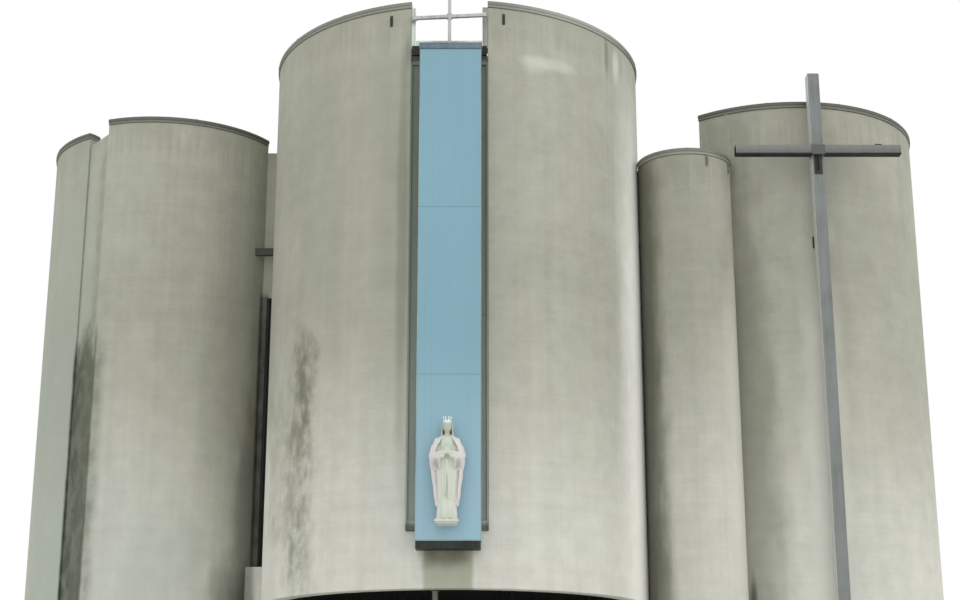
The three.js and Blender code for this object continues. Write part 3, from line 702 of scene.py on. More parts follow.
def add_prism(bm, points, low, high):
    """An upright prism on a flat outline."""
    add_loft(bm, [[(x, y, level) for x, y, _ in points] for level in (low, high)])


def steps(low, high, step):
    """Even values from low to high, no further apart than the step."""
    count = max(1, math.ceil((high - low) / step - 1e-6))
    return [low + (high - low) * index / count for index in range(count + 1)]


def radial(low, high, step=ANGLE_STEP):
    """Wall columns between two angles. A column is its outer and its inner angle."""
    return [(angle, angle) for angle in steps(low, high, step)]


def across(shell, x, over=0.0):
    """The column of a shell's front where its outer and its inner face meet an upright plane at x."""
    faces = (shell.radius + over, shell.inner - over)
    return tuple(math.degrees(math.asin((x - shell.x) / radius)) for radius in faces)


def behind(shell, y):
    """The column of a shell's right half where its faces meet an upright plane at y."""
    return tuple(math.degrees(math.acos((shell.y - y) / radius)) for radius in (shell.radius, shell.inner))


def levels_to(shell, *marks):
    """Levels from the ground to the wall's top under its coping, which include the marks."""
    ends = [0.0, *marks, wall_top(shell)]
    return [0.0] + [level for low, high in zip(ends, ends[1:]) for level in steps(low, high, LEVEL_STEP)[1:]]


def wall_top(shell):
    return shell.top - COPING_HEIGHT - 0.0004


def add_round_wall(bm, shell, columns, levels, stands=lambda i, j: True):
    """A curved wall on a grid of columns and levels; stands(i, j) says which cells are wall."""
    last = len(columns) - 1
    closed = columns[-1][0] - columns[0][0] > 359.9
    points = {}

    def at(side, i, j):
        key = (side, i % last if closed else i, j)
        if key not in points:
            radius = (shell.radius, shell.inner)[side]
            points[key] = bm.verts.new(shell.at(radius, columns[key[1]][side], levels[j]))
        return points[key]

    def cell(i, j):
        i = i % last if closed else i
        return 0 <= i < last and 0 <= j < len(levels) - 1 and stands(i, j)

    for i in range(last):
        for j in range(len(levels) - 1):
            if not cell(i, j):
                continue
            corners = ((i, j), (i + 1, j), (i + 1, j + 1), (i, j + 1))
            bm.faces.new([at(0, *corner) for corner in corners])
            bm.faces.new([at(1, *corner) for corner in reversed(corners)])
            neighbours = ((i, j - 1), (i + 1, j), (i, j + 1), (i - 1, j))
            for neighbour, start, end in zip(neighbours, corners, corners[1:] + corners[:1]):
                if not cell(*neighbour):
                    bm.faces.new((at(0, *start), at(1, *start), at(1, *end), at(0, *end)))


# Shells
def make_tower():
    slot_left = across(TOWER, SLOT_X - SLOT_HALF)
    slot_right = across(TOWER, SLOT_X + SLOT_HALF)
    notch = [360 - angle for angle in behind(TOWER, NOTCH_Y)]
    start = [angle - 360 for angle in notch]
    columns = [start] + radial(start[0], -PIER_ANGLE)[1:]
    columns += radial(-PIER_ANGLE, slot_left[0] - 0.3)[1:-1] + [slot_left]
    first_slot = len(columns) - 1
    columns += radial(slot_left[0], slot_right[0])[1:-1] + [slot_right]
    last_slot = len(columns) - 1
    columns += radial(slot_right[0], PIER_ANGLE)[1:] + radial(PIER_ANGLE, RIGHT_PIER_END)[1:]
    columns += radial(RIGHT_PIER_END, notch[0])[1:-1] + [notch]
    levels = levels_to(TOWER, TOWER_LOW, SLOT_LOW, TOWER_BACK_LOW)

    def stands(i, j):
        angle = (columns[i][0] + columns[i + 1][0]) / 2
        height = (levels[j] + levels[j + 1]) / 2
        if first_slot <= i < last_slot and height > SLOT_LOW:
            return False
        if abs(angle) < PIER_ANGLE:
            return height > TOWER_LOW
        return angle < RIGHT_PIER_END or height > TOWER_BACK_LOW

    walls = [f"tower_{part}_{side}" for part in ("wall", "pier", "back") for side, _ in SIDES]
    piece("tower_shell", lambda bm: add_round_wall(bm, TOWER, columns, levels, stands), concrete_tower,
          0.015, replaces=walls)


def make_turret():
    piece("turret_shell", lambda bm: add_round_wall(bm, TURRET, radial(0.0, 360.0, 3.0), levels_to(TURRET)),
          concrete_turret, 0.012, replaces=("turret_wall",))


def leaving_angle(shell, radius, other):
    """The angle at which a circle about a shell's centre leaves another shell's outer face."""
    apart = Vector((other.x - shell.x, other.y - shell.y))
    share = (apart.length ** 2 + radius ** 2 - other.radius ** 2) / (2 * radius * apart.length)
    return math.degrees(math.atan2(apart.x, -apart.y) + math.acos(share))


def strip_ends(first, second, inset, reach=0.0):
    """Plan points of the strip between two shells, at a depth inside both faces."""
    return first.at(first.radius - inset, first.end + reach), second.at(second.radius - inset, second.start)


def make_shell(shell, following, material, walls, low_start=None):
    """A round shell on the ground, with the infill of the strip after it. It may start later low down."""
    columns = radial(shell.start, shell.end)
    levels = levels_to(shell)
    late = []
    if low_start:
        late = [column for column in columns if column[0] < low_start[0] - 0.3]
        columns = late + [low_start] + [column for column in columns if column[0] > low_start[0] + 0.3]
        levels = levels_to(shell, TURRET_TOP)

    def stands(i, j):
        return i >= len(late) or levels[j] > TURRET_TOP - 0.001

    def build(bm):
        add_round_wall(bm, shell, columns, levels, stands)
        outer = strip_ends(shell, following, INFILL_INSET, -1.0)
        inner = strip_ends(shell, following, WALL - 0.02, -1.0)
        infills = ((0.0, INFILL_TOP),) if shell is LEFT_SIDE else ((0.0, SILL), (HEAD, INFILL_TOP))
        for low, high in infills:
            add_prism(bm, [*outer, *reversed(inner)], low, high)

    piece(shell.name + "_shell", build, material, 0.015,
          replaces=[f"{shell.name}_wall{wall}" for wall in walls])


def make_shells():
    faces = (RIGHT_FRONT.radius, RIGHT_FRONT.inner)
    turret_meets = tuple(leaving_angle(RIGHT_FRONT, radius, TURRET) for radius in faces)
    make_shell(RIGHT_FRONT, RIGHT_BACK, concrete_right, ("_front", "_side"), turret_meets)
    make_shell(RIGHT_BACK, APSE, concrete_back, ("_side", "_back"))
    make_shell(APSE, LEFT_BACK, concrete_back, ("_right", "_left"))
    make_shell(LEFT_BACK, LEFT_SIDE, concrete_back, ("_back", "_side"))
    make_shell(LEFT_SIDE, LEFT_FRONT, concrete_left, ("",))


def make_left_front():
    """The left front shell ends flat against the notch, whose thin wall is cast on to it."""
    end = behind(LEFT_FRONT, NOTCH_Y + 0.01)
    columns = radial(LEFT_FRONT.start, min(end) - 0.2) + [end]

    def build(bm):
        add_round_wall(bm, LEFT_FRONT, columns, levels_to(LEFT_FRONT))
        for right, low, high in ((NOTCH_RIGHT, 0.0, NOTCH_SILL), (SLIT_LEFT, NOTCH_SILL, NOTCH_HEAD),
                                 (NOTCH_RIGHT, NOTCH_HEAD, INFILL_TOP)):
            add_box(bm, (NOTCH_LEFT, right), (NOTCH_Y + 0.0004, NOTCH_Y + 0.2), (low, high))

    piece("left_front_shell", build, concrete_left, 0.015, replaces=("left_front_wall",))


# Copings: folded sheet over the top of each wall, with a drip edge and a cover strap at each joint
def coping_profile(shell):
    """Outline of the coping's section, as distance from the circle's centre and level."""
    outer = shell.radius + COPING_OVERHANG
    inner = shell.inner - COPING_OVERHANG
    low = shell.top - COPING_HEIGHT
    fold = low + COPING_APRON
    half = [
        (0.022, low + 0.002), (0.016, low), (0.008, low + 0.008), (0.015, low + 0.020), (0.015, fold - 0.004),
        (0.002, fold), (0.0, fold + 0.006), (0.0, shell.top - 0.024), (0.010, shell.top - 0.009),
    ]
    outside = [(outer - inset, level) for inset, level in half]
    inside = [(inner + inset, level) for inset, level in reversed(half)]
    return outside + [((outer + inner) / 2, shell.top)] + inside


def add_swept(bm, shell, section, columns, closed=False):
    """A section swept round a shell. A column gives the angle at the outer and at the inner edge."""
    radii = [radius for radius, _ in section]
    widest, deep = max(radii), max(radii) - min(radii)
    rings = []
    for outer, inner in columns:
        rings.append([shell.at(radius, outer + (inner - outer) * (widest - radius) / deep, level)
                      for radius, level in section])
    add_loft(bm, rings, closed)


def grown(section, amount):
    """The same section, a little bigger all round."""
    middle = [sum(values) / len(section) for values in zip(*section)]
    return [tuple(value + math.copysign(amount, value - centre) for value, centre in zip(point, middle))
            for point in section]


def make_coping(shell, columns, material):
    """Coping over one shell, between its first and its last column."""
    section = coping_profile(shell)

    def build(bm):
        add_swept(bm, shell, section, columns)
        start = columns[0][0]
        length = columns[-1][0] - start
        count = max(1, round(math.radians(length) * shell.radius / STRAPS_APART))
        half = math.degrees(STRAP_HALF / shell.radius)
        for index in range(1, count):
            middle = start + length * index / count
            strap = radial(middle - half, middle + half, 360.0)
            add_swept(bm, shell, grown(section, STRAP_THICK), strap)

    piece(shell.name + "_flashing", build, material, replaces=(shell.name + "_coping",))


def make_copings():
    slot_left = [360 + angle for angle in across(TOWER, SLOT_X - SLOT_HALF, COPING_OVERHANG)]
    slot_right = across(TOWER, SLOT_X + SLOT_HALF, COPING_OVERHANG)
    around_tower = radial(slot_right[0], slot_left[0])[1:-1]
    make_coping(TOWER, [slot_right] + around_tower + [slot_left], coping_tower)
    # The turret's coping stops against the tower on both sides
    towards_tower = 270 - TURRET_BEARING
    clear = 13.0
    make_coping(TURRET, radial(towards_tower + clear - 360, towards_tower - clear, 3.0), coping_turret)
    # The left front shell's coping stops at the notch
    for shell in SHELLS:
        end = 63.0 if shell is LEFT_FRONT else shell.end
        make_coping(shell, radial(shell.start, end), coping_shells)


# Panel over the slot, its cap, its channels and the sheet metal round it
def make_panel():
    joints = (8.60, 11.90)
    low, high = PANEL_LOW, PANEL_HIGH - PANEL_CAP
    middle = (PANEL_X, 0.0, 0.0)

    def build_sheets(bm):
        levels = [low + 0.012, *joints, high - 0.0004]
        for foot, head in zip(levels, levels[1:]):
            add_box(bm, PANEL_HALF, (PANEL_FRONT, PANEL_BACK), (foot + 0.002, head - 0.002), at=middle)
        for level in joints:
            joint = (PANEL_X, 0.0, level)
            add_box(bm, PANEL_HALF - 0.006, (PANEL_FRONT + 0.006, PANEL_BACK), 0.004, at=joint)

    def build_trim(bm):
        for _, side in SIDES:
            edge = (side * PANEL_HALF, side * (PANEL_HALF - 0.014))
            add_box(bm, edge, (PANEL_FRONT - 0.004, PANEL_FRONT + 0.03), (low, high - 0.002), at=middle)
        depth = (PANEL_FRONT - 0.010, PANEL_FRONT + 0.04)
        add_box(bm, PANEL_HALF - 0.0145, depth, (low, low + 0.012), at=middle)

    def build_cap(bm):
        half, front = PANEL_HALF + 0.015, PANEL_FRONT - 0.015
        add_boxes(bm, middle,
                  (half, (front, PANEL_BACK), (high + 0.012, PANEL_HIGH - 0.018)),
                  (half, (front, PANEL_BACK), (PANEL_HIGH - 0.017, PANEL_HIGH)),
                  (half - 0.004, (front, front + 0.02), (high, high + 0.011)))

    # The dark foot band under the panel stands for the shade under its bottom edge: painted shade
    def build_foot(bm):
        half, front = PANEL_HALF - 0.01, PANEL_FRONT + 0.01
        add_boxes(bm, middle,
                  (half, (front + 0.012, PANEL_BACK), (low - 0.125, low - 0.0004)),
                  (half, (front, front + 0.011), (low - 0.125, low - 0.095)))
        for x in steps(0.08 - PANEL_HALF, PANEL_HALF - 0.08, 0.22):
            add_bolt(bm, (PANEL_X + x, front + 0.012, low - 0.06), 0.012, 0.008)

    piece("panel_sheets", build_sheets, panel_paint, 0.004, replaces=("blue_panel",))
    piece("panel_trim", build_trim, panel_edge, 0.002)
    piece("panel_cap_sheet", build_cap, cap_metal, 0.004, replaces=("panel_cap",))
    piece("panel_foot_band", build_foot, foot_metal, 0.003, replaces=("panel_foot",))


def make_channels():
    """A folded channel at each side of the slot: two ribs, a recessed web, and bolts down its length."""
    for name, side in SIDES:
        far = SLOT_X + side * (SLOT_HALF - 0.0006)
        near = PANEL_X + side * (PANEL_HALF - 0.09)

        def build(bm):
            low, high = CHANNEL_LOW, CHANNEL_HIGH
            web = CHANNEL_FRONT + 0.05
            add_box(bm, (far - side * 0.028, far), (CHANNEL_FRONT, CHANNEL_BACK), (low, high))
            add_box(bm, (near, near + side * 0.024), (CHANNEL_FRONT + 0.004, CHANNEL_BACK), (low, high))
            add_box(bm, (near + side * 0.025, far - side * 0.029), (web, CHANNEL_BACK), (low, high))
            for end in ((low, low + 0.18), (high - 0.18, high)):
                add_box(bm, (near + side * 0.03, far - side * 0.032), (CHANNEL_FRONT + 0.002, web), end)
            for level in steps(low + 0.5, high - 0.5, 1.3):
                add_bolt(bm, (far - side * 0.085, web, level), 0.016, 0.012)

        piece(f"slot_channel_{name}", build, channel_paint, 0.003,
              replaces=(f"panel_channel_{name}",))


def front_at(shell, x):
    """The y of a shell's front face at an x."""
    return shell.at(shell.radius, across(shell, x)[0]).y


def make_slot_flashings():
    """Upright angles that line the open top of the slot, pale and grey, and sheets across its foot."""
    for (name, side), width, material in zip(SIDES, (0.080, 0.105), (light_metal, grey_metal)):
        jamb = SLOT_X + side * SLOT_HALF
        front = front_at(TOWER, jamb) - 0.004

        def build(bm):
            low, high = PANEL_HIGH + 0.10, wall_top(TOWER) - 0.004
            add_box(bm, (jamb - side * width, jamb - side * 0.001), (front, front + 0.012), (low, high))
            add_box(bm, (jamb - side * 0.012, jamb - side * 0.001), (front + 0.0125, -3.66), (low, high))
            for level in steps(low + 0.15, high - 0.15, 0.35):
                add_bolt(bm, (jamb - side * width * 0.5, front, level), 0.008, 0.004)

        piece(f"slot_flashing_{name}", build, material, 0.001)

    half = SLOT_HALF - 0.012
    middle = (SLOT_X, 0.0, PANEL_HIGH)

    def build_sill(bm):
        add_box(bm, half, (-3.97, -3.86), (-0.07, -0.051), at=middle)
        add_box(bm, half, (-3.93, -3.90), (-0.05, 0.15), at=middle)

    def build_upstand(bm):
        add_box(bm, (0.08 - half, half - 0.10), (-3.88, -3.86), (0.10, 0.285), at=middle)

    piece("slot_sill", build_sill, black_grime_and_shade, 0.003)
    piece("slot_upstand", build_upstand, light_metal, 0.003)


# Crosses
def make_small_cross():
    """Thin welded cross over the panel, its bar clamped to both sides of the slot."""
    half = 0.033
    turn = math.radians(THIN_CROSS_TURN)
    reach = SLOT_HALF - 0.012
    crossing = (SLOT_X, THIN_CROSS_Y, THIN_CROSS_BAR)

    def build(bm):
        add_boxes(bm, (SLOT_X, THIN_CROSS_Y, PANEL_HIGH), (half, half, (0.004, THIN_CROSS_TOP - PANEL_HIGH)),
                  (0.062, 0.05, (0.0004, 0.014)), (0.046, 0.046, (0.015, 0.13)))
        add_box(bm, reach, half, half, at=crossing, turn=Matrix.Rotation(turn, 4, "Z"))
        for _, side in SIDES:
            y = THIN_CROSS_Y + side * math.sin(turn) * reach
            add_boxes(bm, (SLOT_X + side * (SLOT_HALF - 0.006), y, THIN_CROSS_BAR),
                      ((-side * 0.012, 0.0), 0.07, 0.085), ((-side * 0.10, -side * 0.013), 0.043, 0.043))
            add_box(bm, 0.05, 0.036, (side * 0.05 - 0.006, side * 0.05 + 0.006), at=crossing)

    piece("thin_cross", build, pale_steel, 0.005, replaces=("small_cross",))


def make_steel_cross():
    """Hollow square post on a base plate, an arm let into its front, and two ties back to the right shell."""
    deep, tall, half = ARM_HALF_DEPTH, ARM_HALF_HEIGHT, CROSS_HALF
    post = (CROSS_X, CROSS_Y, 0.0)
    arm = (CROSS_X, ARM_Y, ARM_LEVEL)
    wall = front_at(RIGHT_FRONT, CROSS_X)

    def build(bm):
        add_boxes(bm, post, (half, half, (0.021, CROSS_TOP - 0.012)),
                  (half - 0.006, half - 0.006, (CROSS_TOP - 0.0115, CROSS_TOP)))
        add_box(bm, half + 0.011, deep + 0.004, tall + 0.004, at=arm)
        for _, side in SIDES:
            end = (CROSS_X + side * ARM_HALF, ARM_Y, ARM_LEVEL)
            add_box(bm, (side * (half + 0.012), side * ARM_HALF), deep, tall, at=arm)
            add_box(bm, (-side * 0.010, 0.0), deep + 0.003, tall + 0.003, at=end)
            for z in (-0.055, 0.055):
                add_bolt(bm, (CROSS_X + side * (half + 0.05), ARM_Y - deep, ARM_LEVEL + z), 0.014, 0.010)
        for joint in POST_JOINTS:
            add_box(bm, half + 0.004, half + 0.004, 0.006, at=(CROSS_X, CROSS_Y, joint))

    def build_fixings(bm):
        add_box(bm, 0.24, 0.24, (0.0, 0.02), at=post)
        for x, y in CORNERS:
            add_bolt(bm, (CROSS_X + 0.19 * x, CROSS_Y + 0.19 * y, 0.02), 0.022, 0.02, "Z")
        for _, side in SIDES:
            add_box(bm, (side * half, side * (half + 0.09)), 0.008, (0.0205, 0.22), at=post)
        for level in TIE_LEVELS:
            add_boxes(bm, (CROSS_X, 0.0, level), (0.06, (CROSS_Y + half - 0.001, wall - 0.012), 0.06),
                      (0.12, (wall - 0.0115, wall + 0.005), 0.13))
            for x, z in CORNERS:
                add_bolt(bm, (CROSS_X + 0.09 * x, wall - 0.0115, level + 0.1 * z), 0.014, 0.012)
        top = ARM_LEVEL - tall - 0.005
        add_boxes(bm, post, (0.085, (-half - 0.010, -half - 0.001), (top - 0.42, top)),
                  (0.006, (ARM_Y - CROSS_Y - deep + 0.01, -half - 0.0105), (top - 0.34, top)))
        add_box(bm, (1.20, 1.34), deep + 0.012, (tall + 0.001, tall + 0.014), at=arm)

    # A near-black strip under the arm: painted shade of the arm's underside
    def build_underside(bm):
        for _, side in SIDES:
            length = (side * (half + 0.012), side * ARM_HALF)
            add_box(bm, length, (-deep - 0.003, deep), (-tall - 0.006, -tall + 0.022), at=arm)

    piece("tall_cross", build, steel_paint, 0.010, replaces=("steel_cross",))
    piece("tall_cross_fixings", build_fixings, dark_steel, 0.004)
    piece("tall_cross_underside", build_underside, black_grime_and_shade, 0.003)


# Statue of a crowned woman in a mantle, her hands joined before her
GOWN = (
    (0.00, 0.175, 0.150), (0.06, 0.172, 0.146), (0.40, 0.150, 0.124), (0.80, 0.150, 0.120),
    (1.03, 0.128, 0.102), (1.08, 0.126, 0.100), (1.22, 0.152, 0.116), (1.34, 0.168, 0.116),
    (1.42, 0.170, 0.100), (1.47, 0.105, 0.080), (1.50, 0.056, 0.056), (1.56, 0.050, 0.052),
)
GOWN_FOLDS = ((0.0, 0.085), (0.6, 0.075), (1.0, 0.05), (1.08, 0.02), (1.3, 0.03), (1.42, 0.0))
LINING = (
    (0.26, 0.182, 0.100), (0.50, 0.215, 0.104), (0.80, 0.248, 0.104), (1.02, 0.272, 0.100),
    (1.14, 0.280, 0.092), (1.26, 0.250, 0.086), (1.36, 0.200, 0.080),
)
LINING_FOLDS = ((0.26, 0.045), (1.36, 0.02))
# Level, half width, half depth, and half the open angle in front
MANTLE = (
    (0.24, 0.196, 0.165, 66.0), (0.50, 0.232, 0.172, 58.0), (0.80, 0.272, 0.178, 53.0),
    (1.02, 0.305, 0.182, 50.0), (1.14, 0.318, 0.180, 47.0), (1.26, 0.290, 0.168, 41.0),
    (1.38, 0.232, 0.150, 32.0), (1.45, 0.160, 0.124, 30.0), (1.49, 0.112, 0.108, 34.0),
)
MANTLE_FOLDS = ((0.24, 1.0), (0.9, 0.75), (1.3, 0.35), (1.49, 0.05))
# Level, half width, half depth, place behind the neck, and half the open angle in front
VEIL = (
    (1.395, 0.190, 0.145, 0.010, 34.0), (1.44, 0.158, 0.132, 0.012, 40.0),
    (1.50, 0.116, 0.118, 0.014, 50.0), (1.56, 0.106, 0.114, 0.014, 56.0),
    (1.62, 0.104, 0.116, 0.012, 58.0), (1.68, 0.098, 0.112, 0.010, 54.0),
    (1.72, 0.082, 0.096, 0.008, 40.0), (1.75, 0.054, 0.066, 0.006, 14.0),
    (1.763, 0.024, 0.030, 0.006, 3.0),
)
VEIL_FOLDS = ((1.395, 1.0), (1.5, 0.7), (1.62, 0.3), (1.72, 0.1))
# Arms, sleeves, cuffs and foot of one side: start, end, their radii, and how flat
LIMBS = (
    ((0.165, 0.005, 1.395), (0.262, -0.035, 1.115), 0.062, 0.062, 1.0),
    ((0.262, -0.035, 1.115), (0.035, -0.168, 1.165), 0.062, 0.048, 1.0),
    ((0.225, -0.060, 1.07), (0.085, -0.150, 1.095), 0.052, 0.050, 0.7),
    ((0.155, -0.125, 1.06), (0.135, -0.110, 0.90), 0.048, 0.020, 0.8),
    ((0.205, -0.070, 1.04), (0.185, -0.075, 0.86), 0.044, 0.020, 0.8),
    ((0.060, -0.085, 0.030), (0.070, -0.178, 0.024), 0.034, 0.026, 0.7),
)
# A calm, regular face. Each soft form: across, up, half width, half height, and how far it stands out
FACE = [
    (0.0, -0.107, 0.022, 0.018, 0.008), (0.0, -0.079, 0.020, 0.0050, 0.0062),
    (0.0, -0.0685, 0.021, 0.0045, 0.0055), (0.0, -0.0738, 0.023, 0.0018, -0.0036),
    (0.0, 0.045, 0.050, 0.030, 0.003), (0.0095, -0.049, 0.0055, 0.005, 0.004),
    (0.030, 0.016, 0.019, 0.0055, 0.0048), (0.030, 0.001, 0.015, 0.0095, -0.0092),
    (0.030, -0.001, 0.0115, 0.0062, 0.0068), (0.030, -0.0045, 0.013, 0.0016, -0.0020),
    (0.040, -0.036, 0.022, 0.022, 0.0050),
]
FACE += [(0.0, 0.006 - 0.052 * share, 0.0065 + 0.0035 * share, 0.0095, 0.0042 + 0.0085 * share)
         for share in steps(0.0, 1.0, 0.2)]


def eased(table, value):
    """A value read from a table of (place, numbers...), smooth between its rows."""
    if value <= table[0][0]:
        return table[0][1:]
    for first, second in zip(table, table[1:]):
        if value <= second[0]:
            share = (value - first[0]) / (second[0] - first[0])
            share = share * share * (3 - 2 * share)
            return tuple(a + (b - a) * share for a, b in zip(first[1:], second[1:]))
    return table[-1][1:]


def around(count):
    return [step * math.tau / count for step in range(count)]


def past_opening(half, count):
    """Angles round a ring with an opening in front, half of which is given in degrees."""
    start, end = math.radians(half - 90), math.radians(270 - half)
    return steps(start, end, (end - start) / count)


def oval(wide, deep, level, angles, swell=lambda angle: 1.0, back=0.0):
    """A level ring of points, which swells in and out of an oval."""
    points = []
    for angle in angles:
        out = swell(angle)
        points.append(Vector((wide * out * math.cos(angle), back + deep * out * math.sin(angle), level)))
    return points


def draped_rings(sizes, depths, folds):
    """Rings of a robe that hangs in soft upright folds. Sizes: level, half width, half depth."""
    rings = []
    for level in steps(sizes[0][0], sizes[-1][0], 0.026):
        depth = eased(depths, level)[0]

        def swell(angle):
            fold = 0.7 * math.sin(folds * angle + 1.1 * math.sin(2 * angle) + 0.7 * level)
            return 1.0 + depth * (fold + 0.3 * math.sin((2 * folds - 1) * angle + 2.0 * level))

        rings.append(oval(*eased(sizes, level), level, around(96), swell))
    return rings


def mantle_rings():
    """The mantle: a sheet round the back and the arms, open in front, that narrows towards its hem."""
    rings = []
    for level in steps(MANTLE[0][0], MANTLE[-1][0], 0.026):
        wide, deep, opening = eased(MANTLE, level)
        fade = eased(MANTLE_FOLDS, level)[0]
        angles = past_opening(opening, 80)

        def swell(angle):
            edge = min(angle - angles[0], angles[-1] - angle) / (angles[-1] - angles[0])
            fold = math.sin(13 * angle + 1.6 * level) + 0.5 * math.sin(23 * angle - 2.0 * level)
            return 1.0 + 0.045 * fade * fold + 0.05 * math.exp(-(edge / 0.03) ** 2) * fade

        outer = oval(wide, deep, level, angles, swell)
        inner = [point - Vector((point.x, point.y, 0.0)).normalized() * 0.022 for point in outer]
        rings.append(outer + inner[::-1])
    return rings


def add_limb(bm, start, end, start_radius, end_radius, flat=1.0):
    """A tapered limb with round ends."""
    start, end = Vector(start), Vector(end)
    length = (end - start).length
    turn = (end - start).to_track_quat("Z", "Y").to_matrix()
    tip = ((-0.95, 0.31), (-0.7, 0.71), (-0.35, 0.94), (0.0, 1.0))
    rows = [(place * start_radius, start_radius * share) for place, share in tip]
    rows += [(length * share, start_radius + (end_radius - start_radius) * share)
             for share in (0.25, 0.5, 0.75)]
    rows += [(length - place * end_radius, end_radius * share) for place, share in reversed(tip)]
    add_loft(bm, [[start + turn @ point for point in oval(radius, radius * flat, place, around(16))]
                  for place, radius in rows])


def add_hand(bm, side):
    """One of two joined hands, its fingers raised."""
    palm = Vector((side * 0.016, -0.182, 1.17))
    add_limb(bm, palm, palm + Vector((0.0, -0.012, 0.075)), 0.030, 0.027, 0.5)
    for offset, length in ((-0.020, 0.062), (-0.007, 0.072), (0.007, 0.068), (0.020, 0.054)):
        root = palm + Vector((0.0, -0.010 + offset * 0.9, 0.080 - offset * 0.25))
        add_limb(bm, root, root + Vector((-side * 0.002, -0.008, length)), 0.0095, 0.0070)
    add_limb(bm, palm + Vector((0.0, 0.022, 0.035)), palm + Vector((0.0, 0.018, 0.095)), 0.011, 0.008)


def build_figure(bm):
    for rings in (draped_rings(GOWN, GOWN_FOLDS, 9), draped_rings(LINING, LINING_FOLDS, 11), mantle_rings()):
        add_loft(bm, rings)
    for _, side in SIDES:
        for start, end, *shape in LIMBS:
            add_limb(bm, (side * start[0], *start[1:]), (side * end[0], *end[1:]), *shape)
        add_hand(bm, side)
    add_limb(bm, (0.0, 0.0, 1.44), (0.0, -0.012, 1.56), 0.062, 0.050)
    belt = ((1.030, 0.90), (1.034, 1.05), (1.066, 1.05), (1.070, 0.90))
    add_loft(bm, [oval(0.134 * grow, 0.108 * grow, level, around(48)) for level, grow in belt])
    for x, low in ((-0.034, 0.42), (0.032, 0.36)):
        add_limb(bm, (x * 0.4, -0.114, 1.035), (x, -0.152, low), 0.012, 0.015, 0.8)


def face_relief(x, z):
    """How far the face stands out at a place across and up from the middle of the head."""
    relief = 0.0
    for aside, up, wide, tall, height in FACE:
        for middle in (-aside, aside) if aside else (0.0,):
            relief += height * math.exp(-((x - middle) / wide) ** 2 - ((z - up) / tall) ** 2)
    return relief


def build_head(bm):
    """The face on an egg-shaped head, and the hair round it."""
    middle = Vector((0.0, -0.012, 1.632))

    def head(rise, turn):
        jaw = min(0.0, math.sin(rise)) ** 2
        x = 0.078 * math.cos(rise) * math.sin(turn) * (1.0 - 0.30 * jaw)
        y = -0.094 * math.cos(rise) * math.cos(turn) * (1.0 - 0.10 * jaw)
        z = 0.118 * math.sin(rise)
        if y < 0.0:
            y -= face_relief(x, z) * min(1.0, -y / 0.035)
        return middle + Vector((x, y, z))

    def hair(rise, turn):
        wave = 1.0 + 0.018 * math.sin(22 * turn + 3 * rise)
        x = 0.088 * wave * math.cos(rise) * math.sin(turn)
        y = 0.018 - 0.094 * wave * math.cos(rise) * math.cos(turn)
        return middle + Vector((x, y, 0.024 + 0.105 * math.sin(rise)))

    for shape, rows, count in ((head, 72, 96), (hair, 24, 64)):
        rises = [math.pi * row / rows - math.pi / 2 for row in range(1, rows)]
        add_loft(bm, [[shape(rise, turn) for turn in around(count)] for rise in rises])


def build_veil(bm):
    """The veil from the crown of the head to the shoulders, open round the face."""
    rings = []
    for level in steps(VEIL[0][0], VEIL[-1][0], 0.012):
        wide, deep, back, opening = eased(VEIL, level)
        fade = eased(VEIL_FOLDS, level)[0]
        angles = past_opening(opening, 64)

        def swell(angle):
            return 1.0 + 0.035 * fade * math.sin(15 * angle + 3.0 * level)

        shrink = 1.0 - 0.011 / max(wide, 0.03)
        inner = oval(wide * shrink, deep * shrink, level, angles, swell, back)
        rings.append(oval(wide, deep, level, angles, swell, back) + inner[::-1])
    add_loft(bm, rings)


def build_crown(bm):
    """A plain round crown: a banded ring, eight points, and a ball on each."""
    base, rim = 1.718, 1.742
    hub = Shell("crown", 0.0, 0.0, 1.0, 0.0, 0, 360)
    section = [(0.062, base), (0.070, base), (0.070, rim), (0.062, rim)]
    add_swept(bm, hub, section, radial(0.0, 352.5, 7.5), True)
    for angle in steps(22.5, 337.5, 45.0):
        point = [hub.at(0.066, angle - 15, rim - 0.004), hub.at(0.066, angle + 15, rim - 0.004),
                 hub.at(0.076, angle, 1.806)]
        add_loft(bm, [point, [Vector((corner.x * 0.92, corner.y * 0.92, corner.z)) for corner in point]])
        ball = Matrix.Translation(hub.at(0.0745, angle, 1.812))
        bmesh.ops.create_uvsphere(bm, u_segments=10, v_segments=6, radius=0.011, matrix=ball)


def united(made, voxel, rounds):
    """Joins a piece's overlapping forms into one skin, then smooths it."""
    modifier = made.modifiers.new("unite", "REMESH")
    modifier.mode = "VOXEL"
    modifier.voxel_size = voxel
    evaluated(made)
    bm = bmesh.new()
    bm.from_mesh(made.data)
    for _ in range(rounds):
        bmesh.ops.smooth_vert(bm, verts=bm.verts, factor=0.5,
                              use_axis_x=True, use_axis_y=True, use_axis_z=True)
    bm.to_mesh(made.data)
    bm.free()
    made.data.shade_smooth()
    made.data.materials.clear()
    made.data.materials.append(white_stone)


